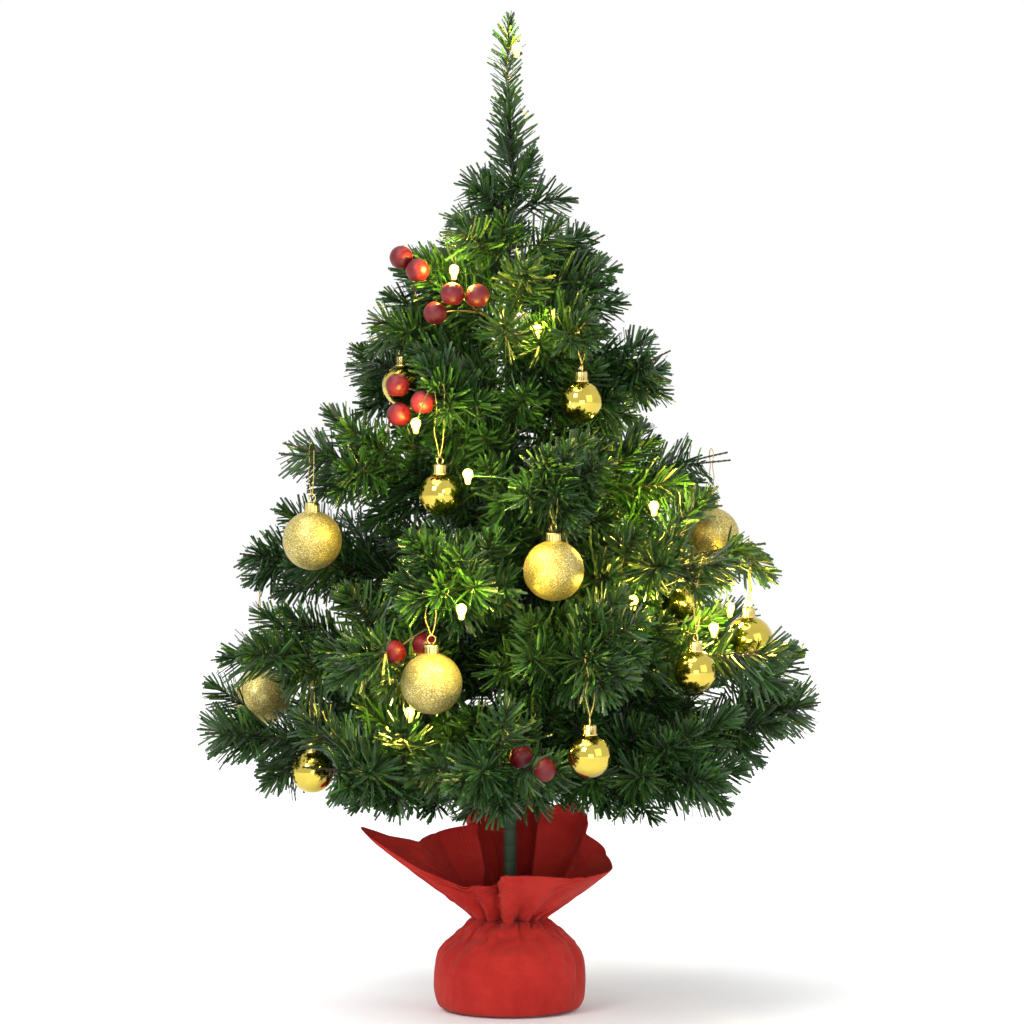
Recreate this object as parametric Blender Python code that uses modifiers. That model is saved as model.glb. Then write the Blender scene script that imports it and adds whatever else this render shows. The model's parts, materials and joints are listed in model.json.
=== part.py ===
"""Artificial tabletop tree in a cloth-wrapped cement base, with baubles, berries and battery lights.

Metres, +Z up. The front faces -Y and the origin is the centre of the base's underside. Azimuths are
degrees anticlockwise from +X, seen from above, so 270 points to the front.
"""

import math
from collections import namedtuple

import bmesh
import bpy
from mathutils import Vector

# Overall sizes
TREE_HEIGHT = 0.600
CROWN_RADIUS = 0.187  # reach of the longest branches
CROWN_BASE = 0.128  # height at which the lowest tier leaves the pole
LEADER_LENGTH = 0.145

# Fits
GAP = 0.0003  # between pieces that touch
WELD = 0.00001

# Base
CLOTH = 0.0012
CUP_RADIUS = 0.0385
CUP_HEIGHT = 0.0370
CUP_WALL = 0.0012
CEMENT_DROP = 0.0025  # from the cup's rim down to the cement
BAG_SLACK = 0.0068  # between the cup and the widest part of the cloth
FOOT_SLACK = 0.0042  # between the cup and the cloth's rounded foot
SHOULDER_SLACK = 0.0050  # how far the shoulder's two rings stand outside and inside the cup
FOOT_RISE = 0.0045
BELLY_RISE = 0.0170
SHOULDER_DROP = 0.0020
SHOULDER_RISE = 0.0075
NECK_RADIUS = 0.0245
NECK_RISE = 0.0115  # from the cup's rim up to the neck
NECK_GATHER = 0.0050  # height of the straight stretch under the tie
TIE_RADIUS = 0.0010
COLLAR_SIDES = 32
COLLAR_REACH = 0.0240  # of the cloth's edge beyond the neck
COLLAR_RISE = 0.0360
COLLAR_TURN = 22  # azimuth of one of the square cloth's corners
CORNER_REACH = 0.0120  # of those corners beyond the rest of the edge
CORNER_RISE = 0.0180
LONG_CORNER_TURN = 10
LONG_CORNER_REACH = 0.0270
LONG_CORNER_DROP = 0.0120

# Pole
POLE_RADIUS = 0.0040
POLE_TOP_RADIUS = 0.0026
SLEEVE_WALL = 0.0014
SLEEVE_RISE = 0.0040  # above the cement

# Branches
STEM_RADIUS = 0.0012
BRUSH_RADIUS = 0.0030
TIP_RADIUS = 0.0010
STEM_BOW = 0.006  # rise of a stem's middle above its straight line
ROOT_GAP = 0.0011  # lets a stem's end turn beside the pole
TWIG_ANGLE = 46
TWIG_CURL = 14  # how far a twig turns back along its stem
TWIG_LIFT = 0.10
TWIG_LENGTH = 0.52  # of a twig at the root, as a share of the stem's reach
TWIG_TAPER = 0.34  # what a twig at the tip has lost of that share

# Hanging ornaments
GLITTER_RADIUS = 0.0175
SHINY_RADIUS = 0.0125
LARGE_SHINY_RADIUS = 0.0150
BALL_WALL = 0.0010
CAP_RADIUS = 0.0042
CAP_HEIGHT = 0.0060
CAP_HOLE = 0.0014
THREAD_RADIUS = 0.0004
THREAD_SPREAD = 0.0024  # half the loop's width at its middle
THREAD_SEAT = 0.0010  # how deep the loop's ends sit in the cap
BALL_STEPS = 12
BERRY_RADIUS = 0.0070
PICK_RADIUS = 0.0006
PICK_LIFT = 0.0030  # of a sprig's foot off the brush it is pushed into
FORK_SHARE = 0.55  # where a sprig's wires part, on the way to its berries

# Lights
WIRE_RADIUS = 0.0005
WIRE_AZIMUTH = 135
WIRE_EXIT = -0.008  # across the box's top
WIRE_BEND = 0.006  # height over which the wire reaches the pole
WIRE_TOP = 0.86  # where it ends, as a share of the crown
BOX_WALL = 0.0014
BOX_LIFT = 0.0195  # above the crown's base, clear of the lowest stems
LID_THICKNESS = 0.0015
GRIP_WIDTH = 0.0016
CELL_RADIUS = 0.0070
CELL_LENGTH = 0.0495
CELL_ROOM = 0.0005  # around the cells
CONTACT_ROOM = 0.00385  # at each end of the cells
NUB_RADIUS = 0.0026
NUB_HEIGHT = 0.0014
SWITCH_SIZE = Vector((0.0022, 0.0050, 0.0032))
SWITCH_TRAVEL = 0.004
SWITCH_STEM = 0.0018
STEM_SEAT = 0.0005  # how deep the switch's stem is set into it, and how far it reaches inside

Tier = namedtuple("Tier", "share reach twigs")
Branch = namedtuple("Branch", "name azimuth root reach rise twigs")
Bauble = namedtuple("Bauble", "name branch along drop radius")

# Where each tier leaves the pole, as a share of the crown, its reach as a share of the crown's
# radius, and where its twigs leave a stem, as shares of the stem: negative ones leave clockwise.
TIERS = {
    1: Tier(0.000, 1.00, (-0.36, 0.47, -0.62, 0.75)),
    2: Tier(0.190, 0.95, (-0.36, 0.47, -0.62, 0.75)),
    3: Tier(0.343, 0.84, (-0.38, 0.50, -0.68, 0.80)),
    4: Tier(0.480, 0.75, (-0.42, 0.55, -0.74)),
    5: Tier(0.618, 0.54, (-0.42, 0.56, -0.74)),
    6: Tier(0.755, 0.47, (-0.42, 0.62)),
    7: Tier(0.887, 0.34, (-0.42, 0.62)),
}

# Branches beside a hanging bauble, with the twigs that leave it room.
OWN_TWIGS = {
    "branch_1a": (-0.36, -0.62, 0.78),
    "branch_1b": (-0.36, -0.62, 0.75),
    "branch_2a": (-0.36, -0.62, 0.78),
    "branch_2b": (-0.36, -0.62, 0.84),
    "branch_2d": (-0.36, 0.47, 0.75),
    "branch_3d": (-0.38, -0.68, 0.80),
    "branch_5a": (-0.42, 0.56),
}

# Each branch: tier, azimuth, length against its tier's, and how far its tip rises.
BRANCHES = (
    ("branch_1a", 1, 190, 1.00, 0.043),
    ("branch_1b", 1, 232, 0.93, 0.024),
    ("branch_1c", 1, 265, 0.94, 0.030),
    ("branch_1d", 1, 314, 0.90, 0.020),
    ("branch_1e", 1, 353, 1.00, 0.058),
    ("branch_1f", 1, 60, 1.00, 0.045),
    ("branch_1g", 1, 130, 1.00, 0.045),
    ("branch_2a", 2, 202, 1.00, 0.025),
    ("branch_2b", 2, 233, 0.96, 0.030),
    ("branch_2c", 2, 287, 0.92, 0.029),
    ("branch_2d", 2, 330, 1.00, 0.028),
    ("branch_2e", 2, 32, 0.98, 0.040),
    ("branch_2f", 2, 112, 0.98, 0.040),
    ("branch_3a", 3, 170, 1.02, 0.032),
    ("branch_3b", 3, 252, 0.97, 0.014),
    ("branch_3c", 3, 319, 0.97, 0.030),
    ("branch_3d", 3, 356, 0.98, 0.040),
    ("branch_3e", 3, 66, 1.00, 0.040),
    ("branch_4a", 4, 204, 1.04, 0.056),
    ("branch_4b", 4, 284, 0.84, 0.027),
    ("branch_4c", 4, 16, 0.99, 0.050),
    ("branch_4d", 4, 105, 1.00, 0.050),
    ("branch_5a", 5, 243, 0.98, 0.044),
    ("branch_5b", 5, 345, 0.98, 0.066),
    ("branch_5c", 5, 162, 0.98, 0.060),
    ("branch_6a", 6, 198, 1.02, 0.040),
    ("branch_6b", 6, 304, 0.96, 0.036),
    ("branch_7a", 7, 125, 1.08, 0.056),
    ("branch_7b", 7, 25, 1.00, 0.050),
)

# Each bauble: the branch that it hangs on, where along the stem, the drop to its centre, its radius.
BAUBLES = (
    Bauble("glitter_bauble_1", "branch_4a", 0.87, 0.053, GLITTER_RADIUS),
    Bauble("glitter_bauble_2", "branch_4b", 0.88, 0.044, GLITTER_RADIUS),
    Bauble("glitter_bauble_3", "branch_3b", 0.94, 0.050, GLITTER_RADIUS),
    Bauble("glitter_bauble_4", "branch_4c", 0.92, 0.049, GLITTER_RADIUS),
    Bauble("glitter_bauble_5", "branch_3a", 0.96, 0.086, GLITTER_RADIUS),
    Bauble("shiny_bauble_1", "branch_5a", 0.90, 0.061, SHINY_RADIUS),
    Bauble("shiny_bauble_2", "branch_2a", 0.70, 0.066, SHINY_RADIUS),
    Bauble("shiny_bauble_3", "branch_2c", 0.94, 0.054, SHINY_RADIUS),
    Bauble("shiny_bauble_4", "branch_6b", 0.88, 0.044, SHINY_RADIUS),
    Bauble("shiny_bauble_5", "branch_6a", 0.74, 0.034, SHINY_RADIUS),
    Bauble("shiny_bauble_6", "branch_3c", 0.93, 0.061, SHINY_RADIUS),
    Bauble("shiny_bauble_7", "branch_3d", 0.93, 0.057, LARGE_SHINY_RADIUS),
    Bauble("shiny_bauble_8", "branch_3d", 0.66, 0.027, SHINY_RADIUS),
)

# Each sprig: its branch, where along the stem it is pushed in, and its berries from that point, as
# shares of the crown's radius.
SPRIGS = (
    (
        "berry_sprig_1",
        None,
        0.0,
        ((-0.225, -0.267, 0.032), (-0.171, -0.299, 0.091), (-0.091, -0.305, 0.086)),
    ),
    (
        "berry_sprig_2",
        "branch_5a",
        0.55,
        ((-0.214, -0.112, 0.043), (-0.209, -0.128, -0.048), (-0.134, -0.193, -0.011)),
    ),
    ("berry_sprig_3", "branch_6a", 0.60, ((-0.064, -0.075, 0.214), (-0.011, -0.118, 0.171))),
    ("berry_sprig_4", "branch_3b", 0.80, ((-0.182, -0.011, -0.155), (-0.091, 0.021, -0.134))),
    ("berry_sprig_5", "branch_1c", 0.55, ((0.147, -0.265, 0.000), (0.080, -0.203, 0.032))),
)
TRUNK_SPRIG_SHARE = 0.866  # of the crown's height
TRUNK_SPRIG_AZIMUTH = 240

# Leader twigs: share of the leader's length, azimuth and length.
LEADER_TWIGS = (
    (0.16, 205, 0.026),
    (0.26, 335, 0.024),
    (0.36, 95, 0.022),
)


def clear_scene():
    for item in list(bpy.data.objects):
        bpy.data.objects.remove(item, do_unlink=True)


def new_collection(name):
    made = bpy.data.collections.new(name)
    bpy.context.scene.collection.children.link(made)
    return made


def material(name, colour, roughness, metallic=0.0):
    made = bpy.data.materials.new(name)
    made.use_nodes = True
    shader = made.node_tree.nodes["Principled BSDF"]
    shader.inputs["Base Color"].default_value = (*colour, 1.0)
    shader.inputs["Roughness"].default_value = roughness
    shader.inputs["Metallic"].default_value = metallic
    return made


def place(item, collection, finish=None):
    """Moves an object that an operator made, or a new one, into a collection."""
    for old in list(item.users_collection):
        old.objects.unlink(item)
    collection.objects.link(item)
    if finish:
        item.data.materials.append(finish)
    return item


def mesh_object(name, shape, location=(0, 0, 0)):
    mesh = bpy.data.meshes.new(name)
    shape.to_mesh(mesh)
    shape.free()
    item = bpy.data.objects.new(name, mesh)
    item.location = location
    return item


def hide_cutter(item, cutters):
    place(item, cutters)
    item.hide_render = True
    item.display_type = "WIRE"
    return item


def boolean(item, other, operation):
    modifier = item.modifiers.new(operation.title(), "BOOLEAN")
    modifier.operation = operation
    modifier.object = other


def box_object(name, size, centre, location=(0, 0, 0)):
    """A box of that size whose middle is at centre, with its origin at location."""
    shape = bmesh.new()
    bmesh.ops.create_cube(shape, size=1.0)
    bmesh.ops.scale(shape, vec=size, verts=shape.verts)
    bmesh.ops.translate(shape, vec=Vector(centre) - Vector(location), verts=shape.verts)
    return mesh_object(name, shape, location)


def turned_object(name, profile, steps, location=(0, 0, 0)):
    """A profile of (radius, height) points turned about Z; a closed one ends where it starts."""
    shape = bmesh.new()
    closed = profile[0] == profile[-1]
    points = profile[:-1] if closed else profile
    verts = [shape.verts.new((radius, 0, height)) for radius, height in points]
    for first, second in zip(verts, verts[1:]):
        shape.edges.new((first, second))
    if closed:
        shape.edges.new((verts[-1], verts[0]))
    item = mesh_object(name, shape, location)
    screw = item.modifiers.new("Screw", "SCREW")
    screw.steps = steps
    screw.render_steps = steps
    screw.use_merge_vertices = True
    screw.merge_threshold = WELD
    return item


def tube_mesh(name, paths, location=(0, 0, 0)):
    """One mesh of round tubes, each a list of (point, radius), with its origin at location."""
    curve = bpy.data.curves.new(name, "CURVE")
    curve.dimensions = "3D"
    curve.bevel_depth = 1.0
    curve.bevel_resolution = 1
    curve.use_fill_caps = True
    for path in paths:
        spline = curve.splines.new("POLY")
        spline.points.add(len(path) - 1)
        for knot, (point, radius) in zip(spline.points, path):
            knot.co = (*(Vector(point) - Vector(location)), 1.0)
            knot.radius = radius
    guide = bpy.data.objects.new(name + "_guide", curve)
    guide.location = location
    bpy.context.scene.collection.objects.link(guide)
    graph = bpy.context.evaluated_depsgraph_get()
    mesh = bpy.data.meshes.new_from_object(guide.evaluated_get(graph))
    shape = bmesh.new()
    shape.from_mesh(mesh)
    bmesh.ops.remove_doubles(shape, verts=shape.verts, dist=WELD)
    bmesh.ops.recalc_face_normals(shape, faces=shape.faces)
    shape.to_mesh(mesh)
    shape.free()
    mesh.materials.clear()
    item = bpy.data.objects.new(name, mesh)
    item.matrix_world = guide.matrix_world
    bpy.data.objects.remove(guide, do_unlink=True)
    return item


def attach(child, parent):
    """Parents an object whose location is still its place in the world."""
    child.location = child.location - parent.location
    child.parent = parent


def heading(azimuth):
    angle = math.radians(azimuth)
    return Vector((math.cos(angle), math.sin(angle), 0.0))


def leader_root():
    return TREE_HEIGHT - LEADER_LENGTH


def pole_radius(height):
    share = min(1.0, height / leader_root())
    return POLE_RADIUS + (POLE_TOP_RADIUS - POLE_RADIUS) * share


def cement_top():
    return CLOTH + GAP + CUP_HEIGHT - CEMENT_DROP


# Base


def make_cement(parts):
    floor = CLOTH + GAP + CUP_WALL + GAP
    bore = POLE_RADIUS + GAP + SLEEVE_WALL + GAP
    outer = CUP_RADIUS - CUP_WALL - GAP
    top = cement_top()
    profile = [(bore, top), (outer, top), (outer, floor), (bore, floor), (bore, top)]
    item = turned_object("cement_weight", profile, 24)
    return place(item, parts, material("cement", (0.42, 0.41, 0.39), 0.9))


def make_cup(parts):
    low = CLOTH + GAP
    high = low + CUP_HEIGHT
    inner = CUP_RADIUS - CUP_WALL
    profile = [
        (0, low + CUP_WALL),
        (inner, low + CUP_WALL),
        (inner, high),
        (CUP_RADIUS, high),
        (CUP_RADIUS, low),
        (0, low),
    ]
    item = turned_object("base_cup", profile, 24)
    return place(item, parts, material("cup_plastic", (0.03, 0.03, 0.03), 0.5))


def make_sleeve(parts):
    low = CLOTH + GAP + CUP_WALL + GAP
    high = cement_top() + SLEEVE_RISE
    inner = POLE_RADIUS + GAP
    outer = inner + SLEEVE_WALL
    profile = [(inner, high), (outer, high), (outer, low), (inner, low), (inner, high)]
    item = turned_object("pole_sleeve", profile, 16)
    return place(item, parts, material("sleeve_plastic", (0.02, 0.10, 0.04), 0.5))


def collar_edge(angle):
    """(radius, height) of the open cloth's edge in that direction: four corners stand out of it."""
    point = abs(math.cos(2 * (angle - math.radians(COLLAR_TURN)))) ** 3
    left = max(0.0, -math.cos(angle - math.radians(LONG_CORNER_TURN))) ** 6
    radius = NECK_RADIUS + COLLAR_REACH + CORNER_REACH * point + LONG_CORNER_REACH * left
    height = neck_top() + COLLAR_RISE + CORNER_RISE * point - LONG_CORNER_DROP * left
    return radius, height


def neck_top():
    return neck_bottom() + NECK_GATHER


def neck_bottom():
    return CLOTH + GAP + CUP_HEIGHT + NECK_RISE


def cloth_rings():
    """The bag's fixed rings up to the neck, as (radius, height) of the cloth's inner face."""
    widest = CUP_RADIUS + BAG_SLACK
    rim = CLOTH + CUP_HEIGHT
    return [
        (CUP_RADIUS + 2 * GAP, CLOTH),
        (CUP_RADIUS + FOOT_SLACK, CLOTH + FOOT_RISE),
        (widest, CLOTH + BELLY_RISE),
        (CUP_RADIUS + SHOULDER_SLACK, rim - SHOULDER_DROP),
        (CUP_RADIUS - SHOULDER_SLACK, rim + SHOULDER_RISE),
        (NECK_RADIUS - CLOTH, neck_bottom()),
        (NECK_RADIUS - CLOTH, neck_top()),
    ]


def make_wrap(parts):
    """The gathered cloth: one open surface from the underside to the collar's edge, thickened outwards."""
    shape = bmesh.new()
    angles = [2 * math.pi * side / COLLAR_SIDES for side in range(COLLAR_SIDES)]
    rings = []
    for radius, height in cloth_rings():
        rings.append([shape.verts.new((radius * math.cos(a), radius * math.sin(a), height)) for a in angles])
    for share in (0.35, 0.7, 1.0):
        ring = []
        for a in angles:
            edge_radius, edge_height = collar_edge(a)
            radius = NECK_RADIUS + (edge_radius - NECK_RADIUS) * share
            height = neck_top() + (edge_height - neck_top()) * share ** 0.9
            ring.append(shape.verts.new((radius * math.cos(a), radius * math.sin(a), height)))
        rings.append(ring)
    for lower, upper in zip(rings, rings[1:]):
        for side in range(COLLAR_SIDES):
            after = (side + 1) % COLLAR_SIDES
            shape.faces.new((lower[side], lower[after], upper[after], upper[side]))
    shape.faces.new(list(reversed(rings[0])))
    item = mesh_object("fabric_wrap", shape)
    solidify = item.modifiers.new("Solidify", "SOLIDIFY")
    solidify.thickness = CLOTH
    solidify.offset = 1.0
    solidify.use_even_offset = True
    return place(item, parts, material("red_cloth", (0.55, 0.015, 0.015), 0.9))


def make_tie(parts):
    bpy.ops.mesh.primitive_torus_add(
        major_radius=NECK_RADIUS + GAP + TIE_RADIUS,
        minor_radius=TIE_RADIUS,
        major_segments=32,
        minor_segments=6,
        location=(0, 0, neck_bottom() + NECK_GATHER / 2),
    )
    item = bpy.context.object
    item.name = "neck_tie"
    return place(item, parts, material("tie_thread", (0.30, 0.01, 0.01), 0.9))


def make_pole(parts):
    low = CLOTH + GAP + CUP_WALL + GAP
    high = leader_root() - ROOT_GAP
    profile = [(0, high), (pole_radius(high), high), (POLE_RADIUS, low), (0, low)]
    item = turned_object("trunk_pole", profile, 12)
    return place(item, parts, material("pole_green", (0.02, 0.09, 0.03), 0.6))


# Branches


def all_branches():
    found = {}
    for name, tier_number, azimuth, length, rise in BRANCHES:
        tier = TIERS[tier_number]
        root = CROWN_BASE + tier.share * (leader_root() - CROWN_BASE)
        reach = CROWN_RADIUS * tier.reach * length
        found[name] = Branch(name, azimuth, root, reach, rise, OWN_TWIGS.get(name, tier.twigs))
    return found


def stem_point(branch, along):
    start = pole_radius(branch.root) + ROOT_GAP
    distance = start + (branch.reach - start) * along
    bow = STEM_BOW * 4 * along * (1 - along)
    height = branch.root + branch.rise * along + bow
    return heading(branch.azimuth) * distance + Vector((0, 0, height))


def stem_path(branch):
    knots = (
        (0.0, STEM_RADIUS),
        (0.22, STEM_RADIUS * 1.2),
        (0.45, BRUSH_RADIUS),
        (0.85, BRUSH_RADIUS),
        (1.0, TIP_RADIUS),
    )
    return [(stem_point(branch, along), radius) for along, radius in knots]


def twig_path(branch, signed_along):
    """A side twig: they shorten towards the tip and curl forwards."""
    along = abs(signed_along)
    side = math.copysign(1, signed_along)
    start = stem_point(branch, along)
    length = branch.reach * (TWIG_LENGTH - TWIG_TAPER * along)
    first = heading(branch.azimuth + side * TWIG_ANGLE)
    second = heading(branch.azimuth + side * (TWIG_ANGLE - TWIG_CURL))
    lift = Vector((0, 0, TWIG_LIFT * length / 2))
    middle = start + first * (length / 2) + lift
    end = middle + second * (length / 2) + lift
    return [(start, STEM_RADIUS), (middle, BRUSH_RADIUS), (end, TIP_RADIUS)]


def make_branch(branch, parts, cutters, finish):
    origin = stem_point(branch, 0.0)
    item = place(tube_mesh(branch.name, [stem_path(branch)], origin), parts, finish)
    twigs = [twig_path(branch, signed_along) for signed_along in branch.twigs]
    joined = hide_cutter(tube_mesh(branch.name + "_twigs", twigs, origin), cutters)
    boolean(item, joined, "UNION")
    return item


def make_leader(parts, cutters, finish):
    root = Vector((0, 0, leader_root()))
    up = Vector((0, 0, LEADER_LENGTH))
    knots = ((0.0, POLE_TOP_RADIUS), (0.2, BRUSH_RADIUS), (0.75, BRUSH_RADIUS), (1.0, TIP_RADIUS))
    item = place(tube_mesh("leader_brush", [[(root + up * s, r) for s, r in knots]], root), parts, finish)
    twigs = []
    for share, azimuth, length in LEADER_TWIGS:
        start = root + up * share
        outward = heading(azimuth)
        end = start + outward * (length * 0.62) + Vector((0, 0, length * 0.9))
        middle = start + outward * (length * 0.4) + Vector((0, 0, length * 0.4))
        twigs.append([(start, STEM_RADIUS), (middle, BRUSH_RADIUS * 0.7), (end, TIP_RADIUS)])
    boolean(item, hide_cutter(tube_mesh("leader_twigs", twigs, root), cutters), "UNION")
    return item


# Ornaments


def bauble_profile(radius, drop):
    """A hollow ball and its cap, from the inside's lowest point, out through the cap's hole and down."""
    centre = -drop
    inner = radius - BALL_WALL
    neck = math.asin(CAP_RADIUS / radius)
    cap_top = centre + radius * math.cos(neck) + CAP_HEIGHT
    profile = [(0.0, centre - inner)]
    for step in range(1, 4):
        angle = math.pi * (1 - step / 4)
        profile.append((inner * math.sin(angle), centre + inner * math.cos(angle)))
    profile.append((CAP_HOLE, centre + inner * math.cos(math.asin(CAP_HOLE / inner))))
    profile.append((CAP_HOLE, cap_top))
    profile.append((CAP_RADIUS, cap_top))
    outer_steps = 7
    for step in range(outer_steps):
        angle = neck + (math.pi - neck) * step / outer_steps
        profile.append((radius * math.sin(angle), centre + radius * math.cos(angle)))
    profile.append((0.0, centre - radius))
    return profile


def make_bauble(bauble, branches, parts, cutters, finish):
    branch = branches[bauble.branch]
    hang = stem_point(branch, bauble.along)
    item = turned_object(bauble.name, bauble_profile(bauble.radius, bauble.drop), BALL_STEPS, hang)
    place(item, parts, finish)
    neck = math.asin(CAP_RADIUS / bauble.radius)
    rim = bauble.radius * math.cos(neck) + CAP_HEIGHT - bauble.drop
    inset = (CAP_RADIUS + CAP_HOLE) / 2
    top = -(BRUSH_RADIUS + 3 * GAP + THREAD_RADIUS)
    across = heading(branch.azimuth + 90)
    half_height = (rim + top) / 2
    loop = [
        hang + across * inset + Vector((0, 0, rim - THREAD_SEAT)),
        hang + across * THREAD_SPREAD + Vector((0, 0, half_height)),
        hang + Vector((0, 0, top)),
        hang - across * THREAD_SPREAD + Vector((0, 0, half_height)),
        hang - across * inset + Vector((0, 0, rim - THREAD_SEAT)),
    ]
    thread = tube_mesh(bauble.name + "_thread", [[(point, THREAD_RADIUS) for point in loop]], hang)
    boolean(item, hide_cutter(thread, cutters), "UNION")
    return item


def berry_ball(name, centre, location):
    shape = bmesh.new()
    bmesh.ops.create_uvsphere(shape, u_segments=10, v_segments=7, radius=BERRY_RADIUS)
    bmesh.ops.translate(shape, vec=Vector(centre) - Vector(location), verts=shape.verts)
    return mesh_object(name, shape, location)


def sprig_place(branch, along, hangs):
    """Where a sprig starts: just clear of the top or underside of a stem, or of the pole."""
    if branch:
        side = -1 if hangs else 1
        return stem_point(branch, along) + Vector((0, 0, side * (BRUSH_RADIUS + GAP + PICK_LIFT)))
    height = CROWN_BASE + TRUNK_SPRIG_SHARE * (leader_root() - CROWN_BASE)
    clear = pole_radius(height) + GAP + PICK_RADIUS
    return heading(TRUNK_SPRIG_AZIMUTH) * clear + Vector((0, 0, height))


def make_sprig(name, branch, along, offsets, parts, cutters, finish):
    offsets = [Vector(share) * CROWN_RADIUS for share in offsets]
    base = sprig_place(branch, along, offsets[0].z < -BERRY_RADIUS)
    berries = [base + offset for offset in offsets]
    middle = sum(berries, Vector()) / len(berries)
    fork = base.lerp(middle, FORK_SHARE)
    stalk = [(base, PICK_RADIUS), (fork, PICK_RADIUS), (berries[0], PICK_RADIUS)]
    item = place(tube_mesh(name, [stalk], base), parts, finish)
    for order, centre in enumerate(berries):
        if order:
            wire = tube_mesh(f"{name}_wire_{order}", [[(fork, PICK_RADIUS), (centre, PICK_RADIUS)]], base)
            boolean(item, hide_cutter(wire, cutters), "UNION")
        ball = berry_ball(f"{name}_berry_{order}", centre, base)
        boolean(item, hide_cutter(ball, cutters), "UNION")
    return item


# Lights


def box_front():
    return POLE_RADIUS + GAP


def box_size():
    """The box is sized by the two cells that lie across it, one above the other."""
    width = CELL_LENGTH + 2 * (CONTACT_ROOM + BOX_WALL)
    depth = BOX_WALL + GAP + 2 * CELL_RADIUS + GAP + CELL_ROOM
    height = 4 * CELL_RADIUS + 2 * (GAP + CELL_ROOM + GAP + BOX_WALL)
    return Vector((width, depth, height))


def box_centre():
    size = box_size()
    return Vector((0, box_front() + size.y / 2, CROWN_BASE + BOX_LIFT + size.z / 2))


def make_battery_box(parts, cutters):
    centre = box_centre()
    size = box_size()
    finish = material("box_green", (0.02, 0.08, 0.03), 0.45)
    item = place(box_object("battery_box", size, centre), parts, finish)
    hollow = size - Vector((2 * BOX_WALL, 0, 2 * BOX_WALL))
    bay = box_object("battery_bay", hollow, centre + Vector((0, BOX_WALL, 0)))
    boolean(item, hide_cutter(bay, cutters), "DIFFERENCE")
    slot_size = Vector((4 * BOX_WALL, SWITCH_STEM + 2 * GAP, SWITCH_STEM + SWITCH_TRAVEL + 2 * GAP))
    slot_place = centre + Vector((size.x / 2, 0, SWITCH_TRAVEL / 2))
    boolean(item, hide_cutter(box_object("switch_slot", slot_size, slot_place), cutters), "DIFFERENCE")
    return item


def make_lid(parts, cutters):
    box = box_size()
    centre = box_centre() + Vector((0, box.y / 2 + GAP + LID_THICKNESS / 2, 0))
    size = Vector((box.x, LID_THICKNESS, box.z))
    finish = material("lid_green", (0.02, 0.09, 0.03), 0.45)
    item = place(box_object("battery_lid", size, centre, centre), parts, finish)
    grip_place = centre + Vector((box.x * 0.3, LID_THICKNESS * 0.75, 0))
    grip = box_object("lid_grip", (GRIP_WIDTH, LID_THICKNESS, box.z / 2), grip_place, centre)
    boolean(item, hide_cutter(grip, cutters), "UNION")
    return item


def make_cell(order, parts, finish):
    """An AA cell with its raised contact, lying across the box."""
    side = 1 if order == 1 else -1
    inside = box_front() + BOX_WALL + GAP + CELL_RADIUS
    centre = Vector((0, inside, box_centre().z + side * (CELL_RADIUS + GAP)))
    half = CELL_LENGTH / 2
    profile = [
        (0, half),
        (NUB_RADIUS, half),
        (NUB_RADIUS, half - NUB_HEIGHT),
        (CELL_RADIUS, half - NUB_HEIGHT),
        (CELL_RADIUS, -half),
        (0, -half),
    ]
    item = turned_object(f"battery_cell_{order}", profile, 14, centre)
    item.rotation_euler = (0, side * math.pi / 2, 0)
    return place(item, parts, finish)


def make_switch(parts, cutters):
    centre = box_centre() + Vector((box_size().x / 2 + GAP + SWITCH_SIZE.x / 2, 0, 0))
    finish = material("switch_black", (0.02, 0.02, 0.02), 0.4)
    item = place(box_object("switch_slider", SWITCH_SIZE, centre, centre), parts, finish)
    stem_size = Vector((BOX_WALL + 2 * (GAP + STEM_SEAT), SWITCH_STEM, SWITCH_STEM))
    stem_place = centre - Vector((SWITCH_SIZE.x / 2 + stem_size.x / 2 - STEM_SEAT, 0, 0))
    boolean(item, hide_cutter(box_object("switch_stem", stem_size, stem_place, centre), cutters), "UNION")
    return item


def make_light_wire(parts):
    """The stretch of light wire that is tied up along the pole."""
    low = box_centre().z + box_size().z / 2 + GAP
    high = CROWN_BASE + WIRE_TOP * (leader_root() - CROWN_BASE)
    exit_place = Vector((WIRE_EXIT, box_centre().y, low + WIRE_RADIUS))
    path = [(exit_place, WIRE_RADIUS)]
    low += WIRE_BEND
    for step in range(7):
        height = low + (high - low) * step / 6
        distance = pole_radius(height) + 2 * GAP + WIRE_RADIUS
        path.append((heading(WIRE_AZIMUTH) * distance + Vector((0, 0, height)), WIRE_RADIUS))
    return place(tube_mesh("light_wire", [path]), parts, material("wire_green", (0.02, 0.10, 0.03), 0.5))


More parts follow.
